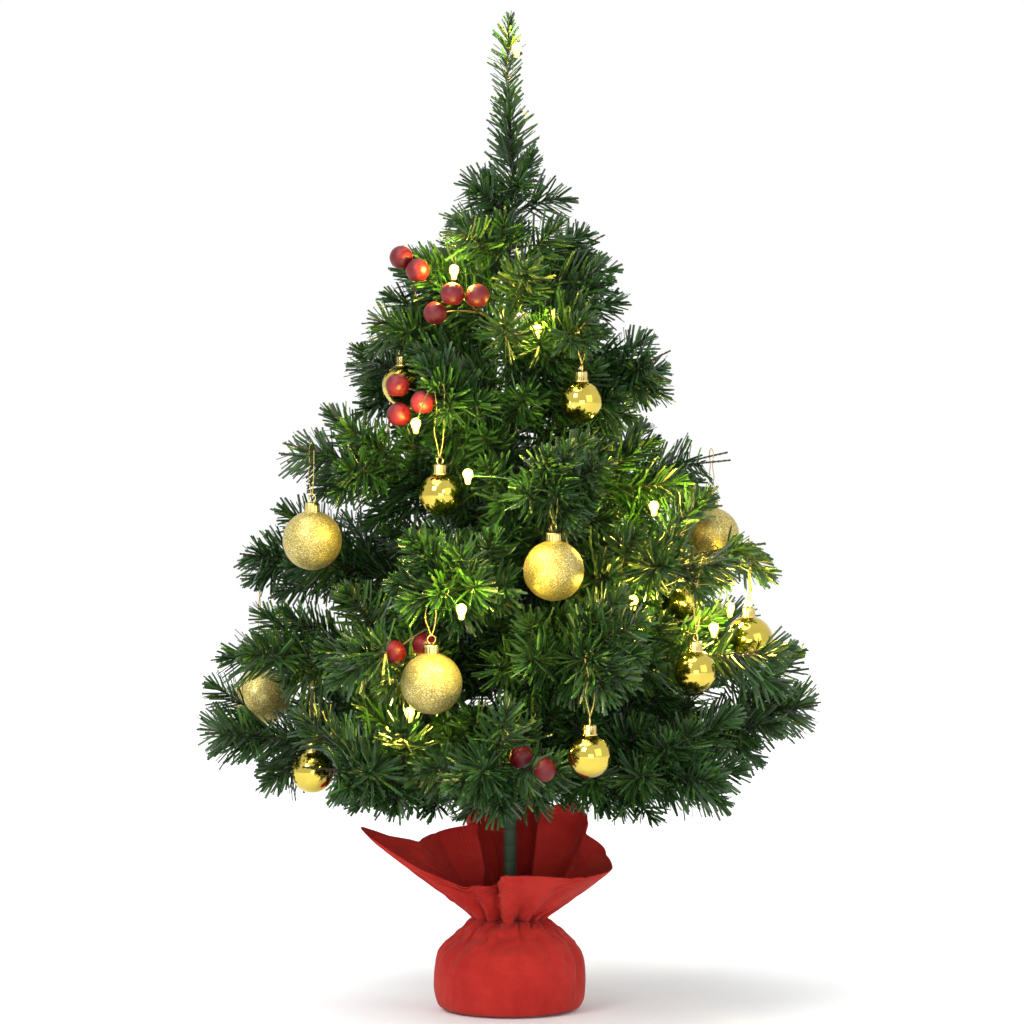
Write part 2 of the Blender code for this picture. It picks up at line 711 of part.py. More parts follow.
def make_tree():
    clear_scene()
    parts = new_collection("artificial_tabletop_tree")
    cutters = new_collection("cutters")
    make_cement(parts)
    make_cup(parts)
    make_sleeve(parts)
    make_wrap(parts)
    make_tie(parts)
    make_pole(parts)
    needles = material("needle_green", (0.02, 0.10, 0.03), 0.6)
    make_leader(parts, cutters, needles)
    branches = all_branches()
    limbs = {}
    for name, branch in branches.items():
        limbs[name] = make_branch(branch, parts, cutters, needles)
    glitter = material("glitter_gold", (0.62, 0.47, 0.12), 0.6, 0.8)
    shiny = material("shiny_gold", (0.80, 0.58, 0.10), 0.12, 1.0)
    for bauble in BAUBLES:
        finish = glitter if bauble.radius == GLITTER_RADIUS else shiny
        attach(make_bauble(bauble, branches, parts, cutters, finish), limbs[bauble.branch])
    berry = material("berry_red", (0.35, 0.01, 0.015), 0.45)
    for name, branch_name, along, offsets in SPRIGS:
        sprig = make_sprig(name, branches.get(branch_name), along, offsets, parts, cutters, berry)
        if branch_name:
            attach(sprig, limbs[branch_name])
    make_battery_box(parts, cutters)
    make_lid(parts, cutters)
    cell = material("cell_wrap", (0.10, 0.10, 0.11), 0.35)
    for order in (1, 2):
        make_cell(order, parts, cell)
    make_switch(parts, cutters)
    make_light_wire(parts)


make_tree()
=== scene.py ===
"""Looks of the artificial tabletop tree: needles, ornaments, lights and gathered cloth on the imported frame.

Metres, +Z up, the front faces -Y. Each branch's root, heading and tip come from its packed hinge and solid.
"""

import json
import math

import bpy
import numpy as np
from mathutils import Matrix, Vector


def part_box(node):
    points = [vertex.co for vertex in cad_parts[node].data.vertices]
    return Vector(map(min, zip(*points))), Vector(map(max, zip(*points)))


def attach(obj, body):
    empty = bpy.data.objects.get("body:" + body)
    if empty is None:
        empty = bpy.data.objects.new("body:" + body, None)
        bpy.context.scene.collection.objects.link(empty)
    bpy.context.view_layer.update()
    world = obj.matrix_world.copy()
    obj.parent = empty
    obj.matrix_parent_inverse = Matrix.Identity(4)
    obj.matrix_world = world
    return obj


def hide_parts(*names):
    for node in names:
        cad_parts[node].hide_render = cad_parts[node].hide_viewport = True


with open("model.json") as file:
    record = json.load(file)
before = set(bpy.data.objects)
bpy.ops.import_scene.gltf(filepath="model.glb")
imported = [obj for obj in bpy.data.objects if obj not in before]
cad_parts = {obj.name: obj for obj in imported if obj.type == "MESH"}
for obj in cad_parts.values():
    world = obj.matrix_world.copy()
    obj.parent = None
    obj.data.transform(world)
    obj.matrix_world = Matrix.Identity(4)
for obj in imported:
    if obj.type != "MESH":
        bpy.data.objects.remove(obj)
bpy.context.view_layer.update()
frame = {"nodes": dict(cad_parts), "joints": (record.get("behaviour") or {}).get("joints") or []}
JOINTS = {joint["name"]: joint for joint in frame["joints"]}

# Camera
CAMERA_DISTANCE = 2.2
CAMERA_HEIGHT = 0.34
VIEW_WIDTH = 0.6175
VIEW_CENTRE = Vector((0.0012, 0.0, 0.2991))
SENSOR = 36.0
CAMERA = Vector((VIEW_CENTRE.x, -CAMERA_DISTANCE, CAMERA_HEIGHT))

# The brushes, as the solids were made
STEM_BOW = 0.006
TWIG_ANGLE = 46
TWIG_CURL = 14
TWIG_LIFT = 0.10
TWIG_LENGTH = 0.52
TWIG_TAPER = 0.34
BRUSH_RADIUS = 0.0030
PICK_LIFT = 0.0033
BERRY_RADIUS = 0.0070
CROWN_RADIUS = 0.187

TIER_TWIGS = {
    1: (-0.36, 0.47, -0.62, 0.75),
    2: (-0.36, 0.47, -0.62, 0.75),
    3: (-0.38, 0.50, -0.68, 0.80),
    4: (-0.42, 0.55, -0.74),
    5: (-0.42, 0.56, -0.74),
    6: (-0.42, 0.62),
    7: (-0.42, 0.62),
}
OWN_TWIGS = {
    "branch_1a": (-0.36, -0.62, 0.78),
    "branch_1b": (-0.36, -0.62, 0.75),
    "branch_2a": (-0.36, -0.62, 0.78),
    "branch_2b": (-0.36, -0.62, 0.84),
    "branch_2d": (-0.36, 0.47, 0.75),
    "branch_3d": (-0.38, -0.68, 0.80),
    "branch_5a": (-0.42, 0.56),
}
LEADER_TWIGS = ((0.16, 205, 0.026), (0.26, 335, 0.024), (0.36, 95, 0.022))

# Bauble: node, branch, where along its stem, radius, and the share of it that no needle may cover at the front
BAUBLES = (
    ("glitter_bauble_1", "branch_4a", 0.87, 0.0175, 1.02),
    ("glitter_bauble_2", "branch_4b", 0.88, 0.0175, 1.02),
    ("glitter_bauble_3", "branch_3b", 0.94, 0.0175, 1.02),
    ("glitter_bauble_4", "branch_4c", 0.92, 0.0175, 0.62),
    ("glitter_bauble_5", "branch_3a", 0.96, 0.0175, 0.62),
    ("shiny_bauble_1", "branch_5a", 0.90, 0.0125, 0.00),
    ("shiny_bauble_2", "branch_2a", 0.70, 0.0125, 1.02),
    ("shiny_bauble_3", "branch_2c", 0.94, 0.0125, 1.02),
    ("shiny_bauble_4", "branch_6b", 0.88, 0.0125, 1.02),
    ("shiny_bauble_5", "branch_6a", 0.74, 0.0125, 0.62),
    ("shiny_bauble_6", "branch_3c", 0.93, 0.0125, 1.02),
    ("shiny_bauble_7", "branch_3d", 0.93, 0.0150, 0.62),
    ("shiny_bauble_8", "branch_3d", 0.66, 0.0125, 0.62),
)
CAP_RADIUS = 0.0042
CAP_HEIGHT = 0.0060

# Sprig: node, branch, where along its stem, berries as shares of the crown's radius
SPRIGS = (
    ("berry_sprig_1", None, 0.0, ((-0.225, -0.267, 0.032), (-0.171, -0.299, 0.091), (-0.091, -0.305, 0.086))),
    ("berry_sprig_2", "branch_5a", 0.55, ((-0.214, -0.112, 0.043), (-0.209, -0.128, -0.048), (-0.134, -0.193, -0.011))),
    ("berry_sprig_3", "branch_6a", 0.60, ((-0.064, -0.075, 0.214), (-0.011, -0.118, 0.171))),
    ("berry_sprig_4", "branch_3b", 0.80, ((-0.182, -0.011, -0.155), (-0.091, 0.021, -0.134))),
    ("berry_sprig_5", "branch_1c", 0.55, ((0.147, -0.265, 0.000), (0.080, -0.203, 0.032))),
)
TRUNK_SPRIG_HEIGHT = 0.411
TRUNK_SPRIG_AZIMUTH = 240

# Light: the body that it rides, its place and its brightness
LIGHTS = (
    ("leader", (0.004, -0.010, 0.577), 0.35),
    ("base", (-0.033, -0.046, 0.442), 1.0),
    ("base", (0.016, -0.045, 0.407), 0.35),
    ("branch_5a", (-0.054, -0.106, 0.351), 0.5),
    ("branch_4b", (-0.024, -0.118, 0.322), 1.3),
    ("branch_3b", (-0.027, -0.165, 0.247), 1.3),
    ("branch_4c", (0.086, -0.020, 0.302), 1.0),
    ("branch_3d", (0.120, -0.052, 0.231), 1.0),
    ("branch_3d", (0.132, -0.010, 0.241), 0.5),
    ("branch_3c", (0.072, -0.070, 0.248), 0.35),
    ("branch_2b", (-0.058, -0.092, 0.184), 0.6),
)

# Needles
NEEDLE_WIDTH = 0.0015
NEEDLE_LENGTH = 0.0215
NEEDLES_PER_MM = 2.7
FILLER_DENSITY = 2.3  # needles per millimetre of the sprays that fill a brush out
TIP_ZONE, TIP_SHARE = 0.022, 0.38  # towards a wire's tip the needles shorten to this share
WIRE_STEP = 0.0025
GOLDEN_TURN = 137.5
FILLERS = {1: 15, 2: 15, 3: 15, 4: 14, 5: 13, 6: 11, 7: 9}
FILLER_LENGTH = {1: 0.058, 2: 0.058, 3: 0.056, 4: 0.054, 5: 0.050, 6: 0.044, 7: 0.036}
POLE_RADIUS = 0.0046  # with the sprays' wire wound round it
POLE_SPRAYS = 100
POLE_SPRAY_HEIGHTS = (0.136, 0.30, 0.38, 0.44, 0.49)
POLE_SPRAY_LENGTHS = (0.080, 0.068, 0.072, 0.068, 0.026)
# Further sprays on the pole, behind the upper berries and under the leader: azimuth, height, length, rise
BERRY_SPRAYS = (
    (163, 0.428, 0.058, 0.40), (178, 0.412, 0.070, 0.55), (192, 0.425, 0.064, 0.45), (206, 0.408, 0.066, 0.60),
    (186, 0.398, 0.074, 0.45), (20, 0.425, 0.056, 0.50), (345, 0.410, 0.060, 0.50), (95, 0.452, 0.036, 0.90),
    (262, 0.450, 0.034, 0.90), (325, 0.446, 0.040, 0.80), (215, 0.448, 0.038, 0.80),
)
# Needles keep this far from the battery box, baubles, berries and bulbs
BOX_GAP, BAUBLE_GAP, BERRY_GAP, BULB_GAP = 0.0015, 0.0030, 0.0010, 0.0045
BOX_LOW = np.array(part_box("battery_box")[0]) - BOX_GAP
BOX_HIGH = np.array(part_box("battery_lid")[1]) + BOX_GAP
# At the front nothing covers this share of a berry, or this far round a bright bulb
BERRY_SHARE, BULB_CLEARING, BRIGHT = 0.8, 0.0060, 0.9
COVERED_SPRIG = "berry_sprig_3"
CROWN_FLOOR = 0.119  # no needle hangs below this height
# The crown's outline: height, then how far needles reach to the left and to the right
CROWN_EDGE = (
    (0.10, 0.176, 0.172), (0.17, 0.190, 0.186), (0.22, 0.188, 0.188), (0.27, 0.166, 0.160), (0.30, 0.150, 0.132),
    (0.34, 0.140, 0.118), (0.40, 0.098, 0.092), (0.44, 0.080, 0.074), (0.50, 0.034, 0.034), (0.62, 0.030, 0.030),
)


# Paths


def heading(azimuth):
    angle = math.radians(azimuth)
    return Vector((math.cos(angle), math.sin(angle), 0.0))


def up(height):
    return Vector((0, 0, height))


def read_branches():
    """Root, tip, azimuth and reach of each branch, from its packed hinge and solid."""
    found = {}
    for body, joint in ((j["child"], j) for j in frame["joints"] if j["child"].startswith("branch_")):
        axis = joint["axis"]
        azimuth = math.degrees(math.atan2(axis[0], -axis[1]))
        out = heading(azimuth)
        points = np.array([v.co for v in frame["nodes"][body].data.vertices])
        along = points @ np.array(out)
        tip = Vector(points[along > along.max() - 0.0004].mean(axis=0))
        reach = (tip.xy).length
        found[body] = {"root": Vector(joint["pos_m"]), "tip": tip, "azimuth": azimuth, "reach": reach}
    return found


def stem_point(branch, along):
    return branch["root"].lerp(branch["tip"], along) + up(STEM_BOW * 4 * along * (1 - along))


def stem_path(branch):
    return [stem_point(branch, step / 10) for step in range(11)]


def twig_path(branch, signed_along):
    along = abs(signed_along)
    side = math.copysign(1, signed_along)
    start = stem_point(branch, along)
    length = branch["reach"] * (TWIG_LENGTH - TWIG_TAPER * along)
    first = heading(branch["azimuth"] + side * TWIG_ANGLE)
    second = heading(branch["azimuth"] + side * (TWIG_ANGLE - TWIG_CURL))
    lift = up(TWIG_LIFT * length / 2)
    middle = start + first * (length / 2) + lift
    return [start, middle, middle + second * (length / 2) + lift]


def smooth_path(points, step):
    """Evenly spaced points along a rounded line through the given ones."""
    knots = np.array(points, float)
    ahead = np.vstack([2 * knots[0] - knots[1], knots, 2 * knots[-1] - knots[-2]])
    dense = []
    for i in range(len(knots) - 1):
        a, b, c, d = ahead[i : i + 4]
        for t in np.linspace(0, 1, 12, endpoint=False):
            dense.append(
                0.5 * (2 * b + (c - a) * t + (2 * a - 5 * b + 4 * c - d) * t**2 + (3 * b - a - 3 * c + d) * t**3)
            )
    dense = np.array(dense + [knots[-1]])
    lengths = np.concatenate([[0], np.cumsum(np.linalg.norm(np.diff(dense, axis=0), axis=1))])
    count = max(2, int(round(lengths[-1] / step)) + 1)
    even = np.linspace(0, lengths[-1], count)
    return np.stack([np.interp(even, lengths, dense[:, k]) for k in range(3)], axis=1)


def unit(vectors):
    return vectors / np.maximum(np.linalg.norm(vectors, axis=-1, keepdims=True), 1e-9)


def path_frames(path):
    """Tangents, and two directions square to them that don't twist along the path."""
    tangents = unit(np.gradient(path, axis=0))
    side = np.cross(tangents[0], (0, 0, 1.0))
    if np.linalg.norm(side) < 0.2:
        side = np.cross(tangents[0], (0, 1.0, 0))
    sides = []
    for tangent in tangents:
        side = side - tangent * (side @ tangent)
        side = side / np.linalg.norm(side)
        sides.append(side)
    sides = np.array(sides)
    return tangents, sides, np.cross(tangents, sides)


# Materials


def fill_in(node, values):
    for name, value in values.items():
        node.inputs[name].default_value = value


class Finish:
    """A material and the nodes that feed its shader."""

    def __init__(self, name, values=None):
        self.made = bpy.data.materials.new(name)
        self.made.use_nodes = True
        self.tree = self.made.node_tree
        self.shader = self.tree.nodes["Principled BSDF"]
        fill_in(self.shader, values or {})

    def node(self, kind, values=None):
        made = self.tree.nodes.new("ShaderNode" + kind)
        fill_in(made, values or {})
        return made

    def link(self, source, target):
        self.tree.links.new(source, target)

    def place(self):
        return self.node("TexCoord").outputs["Object"]

    def uv_place(self, name):
        made = self.node("UVMap")
        made.uv_map = name
        return made.outputs["UV"]

    def tint(self, source, stops, target=None):
        """Colours the target, or the surface, by a ramp of (position, colour) stops, read at source."""
        made = self.node("ValToRGB")
        elements = made.color_ramp.elements
        while len(elements) < len(stops):
            elements.new(0.5)
        for element, (position, colour) in zip(elements, stops):
            element.position = position
            element.color = (*colour, 1.0)
        self.link(source, made.inputs["Fac"])
        self.link(made.outputs["Color"], target or self.shader.inputs["Base Color"])

    def noise(self, place, scale, detail=3.0, roughness=0.5):
        made = self.node("TexNoise", {"Scale": scale, "Detail": detail, "Roughness": roughness})
        self.link(place, made.inputs["Vector"])
        return made.outputs["Fac"]

    def bands(self, place, direction, values, profile="SIN"):
        """Threads, plies or overlaps."""
        made = self.node("TexWave", values)
        made.bands_direction = direction
        made.wave_profile = profile
        self.link(place, made.inputs["Vector"])
        return made.outputs["Fac"]

    def gloss(self, source, low, high):
        made = self.node("MapRange", {"To Min": low, "To Max": high})
        self.link(source, made.inputs["Value"])
        self.link(made.outputs["Result"], self.shader.inputs["Roughness"])

    def bump(self, height, strength, distance):
        made = self.node("Bump", {"Strength": strength, "Distance": distance})
        self.link(height, made.inputs["Height"])
        self.link(made.outputs["Normal"], self.shader.inputs["Normal"])


def mottled(name, dark, light, scale, roughness, grain=0.0, grain_scale=900.0, metallic=0.0):
    """A moulded or cast surface: two close colours in soft patches, uneven gloss and a fine grain."""
    look = Finish(name, {"Metallic": metallic})
    place = look.place()
    patches = look.noise(place, scale, 4.0, 0.6)
    look.tint(patches, ((0.3, dark), (0.7, light)))
    look.gloss(patches, roughness - 0.08, roughness + 0.08)
    if grain:
        look.bump(look.noise(place, grain_scale, 2.0), grain, 0.0003)
    return look.made


def needle_material():
    """Green film: each needle has its own tone of green, with painted shade darkening it where it leaves the wire and
    painted light brightening it towards its tip.
    """
    look = Finish("needle_film", {"Roughness": 0.42, "Specular IOR Level": 0.55})
    split = look.node("SeparateXYZ")
    look.link(look.uv_place("Shade"), split.inputs["Vector"])
    mixed = look.node("Mix")
    mixed.data_type = "RGBA"
    mixed.blend_type = "MULTIPLY"
    fill_in(mixed, {"Factor": 1.0})
    shades = (
        (0.00, (0.005, 0.020, 0.003)),
        (0.30, (0.010, 0.040, 0.005)),
        (0.60, (0.021, 0.074, 0.010)),
        (0.80, (0.040, 0.125, 0.020)),
        (0.92, (0.085, 0.210, 0.045)),
        (0.98, (0.140, 0.260, 0.095)),
    )
    look.tint(split.outputs["X"], shades, mixed.inputs["A"])
    # Painted shade and painted light: each needle is darkened towards its root at the wire and brightened towards its
    # tip.
    root_shade_tip_light = ((0.0, (0.45, 0.42, 0.36)), (0.45, (0.95, 0.95, 0.95)), (1.0, (1.15, 1.15, 1.1)))
    look.tint(split.outputs["Y"], root_shade_tip_light, mixed.inputs["B"])
    look.link(mixed.outputs["Result"], look.shader.inputs["Base Color"])
    return look.made


def wire_core_material():
    look = Finish("twisted_wire", {"Roughness": 0.5, "Metallic": 0.4})
    rust = ((0.35, (0.030, 0.022, 0.012)), (0.65, (0.075, 0.055, 0.030)))
    look.tint(look.noise(look.uv_place("Shade"), 60.0), rust)
    return look.made


def glitter_material():
    """Fine gold flakes at every tilt, set in lacquer."""
    look = Finish("gold_glitter", {"Metallic": 0.75})
    flakes = look.node("TexVoronoi", {"Scale": 2300.0})
    look.link(look.place(), flakes.inputs["Vector"])
    split = look.node("SeparateColor")
    look.link(flakes.outputs["Color"], split.inputs["Color"])
    golds = (
        (0.00, (0.24, 0.180, 0.040)),
        (0.45, (0.42, 0.335, 0.085)),
        (0.85, (0.60, 0.500, 0.170)),
        (1.00, (0.95, 0.880, 0.500)),
    )
    look.tint(split.outputs["Red"], golds)
    look.gloss(split.outputs["Green"], 0.28, 0.62)
    look.bump(split.outputs["Blue"], 0.55, 0.0002)
    return look.made


def polished_material(name, colour, roughness, waviness):
    """Vacuum-plated plastic: a mirror with slight waves and faint rubbed patches."""
    look = Finish(name, {"Metallic": 1.0})
    place = look.place()
    rubbed = look.noise(place, 120.0, 5.0, 0.65)
    look.tint(rubbed, ((0.35, tuple(value * 0.86 for value in colour)), (0.7, colour)))
    look.gloss(rubbed, roughness * 0.6, roughness * 1.6)
    look.bump(look.noise(place, 260.0, 2.0), waviness, 0.0004)
    return look.made


def thread_material(name, dark, light, metallic):
    """Twisted thread: slanting plies along its length."""
    look = Finish(name, {"Metallic": metallic, "Roughness": 0.45})
    plies = look.bands(look.place(), "DIAGONAL", {"Scale": 500.0, "Distortion": 2.0})
    look.tint(plies, ((0.2, dark), (0.8, light)))
    look.bump(plies, 0.5, 0.0002)
    return look.made


def tape_material():
    """Paper tape wound on in slanting overlaps."""
    look = Finish("wound_tape", {"Roughness": 0.7})
    turns = look.bands(look.place(), "Z", {"Scale": 32.0, "Detail": 1.0, "Distortion": 1.5}, "SAW")
    look.tint(turns, ((0.0, (0.004, 0.016, 0.006)), (0.2, (0.008, 0.032, 0.011)), (1.0, (0.013, 0.045, 0.016))))
    look.bump(turns, 0.6, 0.0006)
    return look.made


def cloth_material():
    """Plain-woven cotton: crossing threads, slubs and an uneven dye."""
    sheen = {"Sheen Weight": 0.15, "Sheen Roughness": 0.5, "Sheen Tint": (1.0, 0.35, 0.3, 1.0)}
    look = Finish("red_cotton", {"Roughness": 0.92, "Specular IOR Level": 0.2, **sheen})
    place = look.uv_place("Weave")
    weave = look.node("Math")
    weave.operation = "MAXIMUM"
    for order, direction in enumerate(("X", "Y")):
        threads = {"Scale": 420.0, "Distortion": 1.2, "Detail": 2.0, "Detail Scale": 1.5}
        look.link(look.bands(place, direction, threads), weave.inputs[order])
    mixed = look.node("Math")
    mixed.operation = "MULTIPLY_ADD"
    mixed.inputs[1].default_value = 0.35
    look.link(weave.outputs["Value"], mixed.inputs[0])
    look.link(look.noise(place, 36.0, 6.0, 0.7), mixed.inputs[2])
    reds = ((0.40, (0.240, 0.006, 0.005)), (0.68, (0.350, 0.013, 0.009)), (0.95, (0.440, 0.026, 0.018)))
    look.tint(mixed.outputs["Value"], reds)
    look.bump(weave.outputs["Value"], 0.35, 0.0004)
    return look.made


def bulb_material(name, strength):
    glow = {"Emission Color": (1.0, 0.80, 0.16, 1.0), "Emission Strength": strength}
    look = Finish(name, {"Roughness": 0.15, **glow})
    look.tint(look.noise(look.place(), 300.0, 2.0), ((0.2, (0.62, 0.45, 0.10)), (0.8, (0.70, 0.56, 0.16))))
    return look.made


# Mesh building


def add_object(name, data):
    made = bpy.data.objects.new(name, data)
    bpy.context.scene.collection.objects.link(made)
    return made


def band_faces(rows, around):
    """Quads between the closed rows of a grid, row by row."""
    faces = []
    for low in range(0, (rows - 1) * around, around):
        high = low + around
        for k in range(around):
            after = (k + 1) % around
            faces.append((low + k, low + after, high + after, high + k))
    return faces


def closed_faces(rows, around):
    last = (rows - 1) * around
    return band_faces(rows, around) + [tuple(range(around))[::-1], tuple(range(last, last + around))]


class Shape:
    """Collects points, faces, material numbers and face-corner coordinates for one piece."""

    def __init__(self):
        self.points, self.faces, self.slots, self.corners = [], [], [], []
        self.count = 0

    def add(self, points, faces, slot=0, corners=None):
        points = np.asarray(points, float).reshape(-1, 3)
        self.points.append(points)
        for face in faces:
            self.faces.append([index + self.count for index in face])
        self.slots.extend([slot] * len(faces))
        if corners is not None:
            self.corners.extend(corners)
        self.count += len(points)

    def build(self, name, materials, body, smooth=True, uv_names=()):
        mesh = bpy.data.meshes.new(name)
        mesh.from_pydata(np.vstack(self.points).tolist(), [], self.faces)
        for finish in materials:
            mesh.materials.append(finish)
        mesh.polygons.foreach_set("material_index", self.slots)
        mesh.polygons.foreach_set("use_smooth", [smooth] * len(self.faces))
        for uv_name in uv_names:
            layer = mesh.uv_layers.new(name=uv_name)
            layer.data.foreach_set("uv", np.array(self.corners, np.float32).ravel())
        mesh.update()
        item = add_object(name, mesh)
        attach(item, body)
        return item


def lathe(shape, profile, steps, centre, slot=0, ribs=0, rib_depth=0.0, ribbed=()):
    """Turns (radius, height) points about a vertical line; ribbed lists the rows that are fluted."""
    rows = []
    angles = np.linspace(0, 2 * np.pi, steps, endpoint=False)
    for row, (radius, height) in enumerate(profile):
        swell = 1 + (rib_depth * np.cos(ribs * angles) if row in ribbed else 0 * angles)
        x = centre[0] + radius * swell * np.cos(angles)
        y = centre[1] + radius * swell * np.sin(angles)
        rows.append(np.stack([x, y, np.full(steps, centre[2] + height)], axis=1))
    shape.add(np.vstack(rows), closed_faces(len(rows), steps), slot)


def tube(shape, path, radius, sides=6, slot=0, twist=0.0, uv=None):
    """A round or twisted square tube along a path, closed at both ends."""
    path = np.asarray(path, float)
    _, across, up = path_frames(path)
    count = len(path)
    radii = np.broadcast_to(radius, (count,))
    turn = np.linspace(0, twist, count)[:, None] + np.linspace(0, 2 * np.pi, sides, endpoint=False)[None, :]
    ring = np.cos(turn)[..., None] * across[:, None] + np.sin(turn)[..., None] * up[:, None]
    points = path[:, None] + ring * radii[:, None, None]
    corners = None
    if uv:
        corners = []
        for i in range(count - 1):
            low, high = i / count, (i + 1) / count
            corners.extend([(uv[0], low), (uv[1], low), (uv[1], high), (uv[0], high)] * sides)
        corners.extend([(uv[0], 0.0)] * sides + [(uv[0], 1.0)] * sides)
    shape.add(points, closed_faces(count, sides), slot, corners)


def ring(shape, centre, normal_azimuth, major, minor, slot=0, steps=20, sides=8):
    """An upright wire ring."""
    across = np.array(heading(normal_azimuth + 90))
    out = np.array(heading(normal_azimuth))
    up = np.array((0, 0, 1.0))
    points, faces = [], []
    for i in range(steps):
        angle = 2 * np.pi * i / steps
        spoke = across * math.cos(angle) + up * math.sin(angle)
        for k in range(sides):
            turn = 2 * np.pi * k / sides
            points.append(np.array(centre) + spoke * (major + minor * math.cos(turn)) + out * minor * math.sin(turn))
    for i in range(steps):
        for k in range(sides):
            a, b = (i + 1) % steps, (k + 1) % sides
            faces.append((i * sides + k, a * sides + k, a * sides + b, i * sides + b))
    shape.add(points, faces, slot)


# Needles


def blade_set(roots, directions, lengths, widths, droops, rolls, shades):
    """Slim creased needles, each of three sections; returns points, faces and face corners."""
    count = len(roots)
    directions = unit(directions)
    helper = np.where(np.abs(directions[:, 2:3]) > 0.9, np.array([[0, 1.0, 0]]), np.array([[0, 0, 1.0]]))
    side = unit(np.cross(directions, helper))
    face = np.cross(side, directions)
    cosine, sine = np.cos(rolls)[:, None], np.sin(rolls)[:, None]
    wide = side * cosine + face * sine
    thick = face * cosine - side * sine
    points = np.zeros((count, 9, 3))
    for section, (share, size) in enumerate(((0.0, 0.75), (0.5, 1.0), (1.0, 0.85))):
        centre = roots + directions * (lengths * share)[:, None] + droops * (share**2)
        half = (widths * size / 2)[:, None]
        points[:, section * 3] = centre + wide * half
        points[:, section * 3 + 1] = centre - wide * half
        points[:, section * 3 + 2] = centre + thick * (widths * 0.22)[:, None]
    start = (np.arange(count) * 9)[:, None]
    faces = []
    for low in (0, 3):
        for a, b in ((0, 1), (1, 2), (2, 0)):
            faces.append(start + np.array([[low + b, low + a, low + 3 + a, low + 3 + b]]))
    quads = np.stack(faces, axis=1).reshape(-1, 4).tolist()
    ends = np.stack([start + np.array([[0, 1, 2]]), start + np.array([[8, 7, 6]])], axis=1)
    low_v, high_v = (0.02, 0.5), (0.5, 0.98)
    quad_uv = np.zeros((count, 6, 4, 2))
    quad_uv[..., 0] = shades[:, None, None]
    quad_uv[:, :3, :2, 1], quad_uv[:, :3, 2:, 1] = low_v
    quad_uv[:, 3:, :2, 1], quad_uv[:, 3:, 2:, 1] = high_v
    end_uv = np.zeros((count, 2, 3, 2))
    end_uv[..., 0] = shades[:, None, None]
    end_uv[:, 0, :, 1], end_uv[:, 1, :, 1] = 0.02, 0.98
    corners = quad_uv.reshape(-1, 2).tolist() + end_uv.reshape(-1, 2).tolist()
    return points.reshape(-1, 3), quads + ends.reshape(-1, 3).tolist(), corners


def needle_batch(path, rng, length, start_share, density):
    """Roots, directions, lengths and droops of the needles round one wire, swept towards its tip."""
    total = np.linalg.norm(np.diff(path, axis=0), axis=1).sum()
    count = int(total * (1 - start_share) * 1000 * density)
    if count < 4:
        return None
    share = start_share + (1 - start_share) * (np.arange(count) + rng.random(count)) / count
    position = share * (len(path) - 1)
    low = np.minimum(position.astype(int), len(path) - 2)
    blend = (position - low)[:, None]
    roots = path[low] * (1 - blend) + path[low + 1] * blend
    tangents, across, up = path_frames(path)
    around = np.arange(count) * math.radians(GOLDEN_TURN) + rng.normal(0, 0.35, count)
    radial = across[low] * np.cos(around)[:, None] + up[low] * np.sin(around)[:, None]
    near_tip = np.clip(1 - (1 - share) * total / TIP_ZONE, 0, 1)
    sweep = np.radians(rng.normal(56, 8, count) - 36 * near_tip**1.5)
    directions = tangents[low] * np.cos(sweep)[:, None] + radial * np.sin(sweep)[:, None]
    grown = length * (1 - (1 - TIP_SHARE) * near_tip**1.2) * rng.uniform(0.82, 1.14, count)
    droop = tangents[low] * (grown * rng.uniform(0.02, 0.16, count))[:, None]
    droop = droop + np.array([[0, 0, -1.0]]) * (grown * rng.uniform(0.0, 0.06, count))[:, None]
    return roots, directions, grown, droop


def clear_of(points, keep_out):
    """True for the points outside every (centre, radius) ball and outside the battery box."""
    free = np.ones(len(points), bool)
    for centre, radius in keep_out:
        free &= np.linalg.norm(points - np.array(centre), axis=1) > radius
    inside = np.all((points > BOX_LOW) & (points < BOX_HIGH), axis=1)
    return free & ~inside


def inside_crown(points):
    """True for the points above the crown's floor and within its outline."""
    heights, left, right = zip(*CROWN_EDGE)
    reach = np.maximum(np.hypot(points[:, 0], points[:, 1]), 1e-6)
    rightness = (1 + points[:, 0] / reach) / 2
    low = np.interp(points[:, 2], heights, left) * (1 - rightness)
    high = np.interp(points[:, 2], heights, right) * rightness
    return (reach < low + high) & (points[:, 2] > CROWN_FLOOR)


def in_front(points, shown):
    """True for the points that would hide an ornament which hangs clear on the outside."""
    hidden = np.zeros(len(points), bool)
    for centre, radius in shown:
        ray = (centre - CAMERA).normalized()
        away = points - np.array(CAMERA)
        along = away @ np.array(ray)
        across = np.linalg.norm(away - along[:, None] * np.array(ray), axis=1)
        hidden |= (along < (centre - CAMERA).length) & (across < radius)
    return hidden


def fits(path, room):
    """Whether a spray's wire is clear of the ornaments, not in front of them, and inside the crown."""
    keep_out, shown = room
    for centre, radius in keep_out:
        if any((Vector(point) - centre).length < radius + 0.004 for point in path):
            return False
    return not in_front(path, shown).any() and inside_crown(path * [1.06, 1.06, 1]).all()


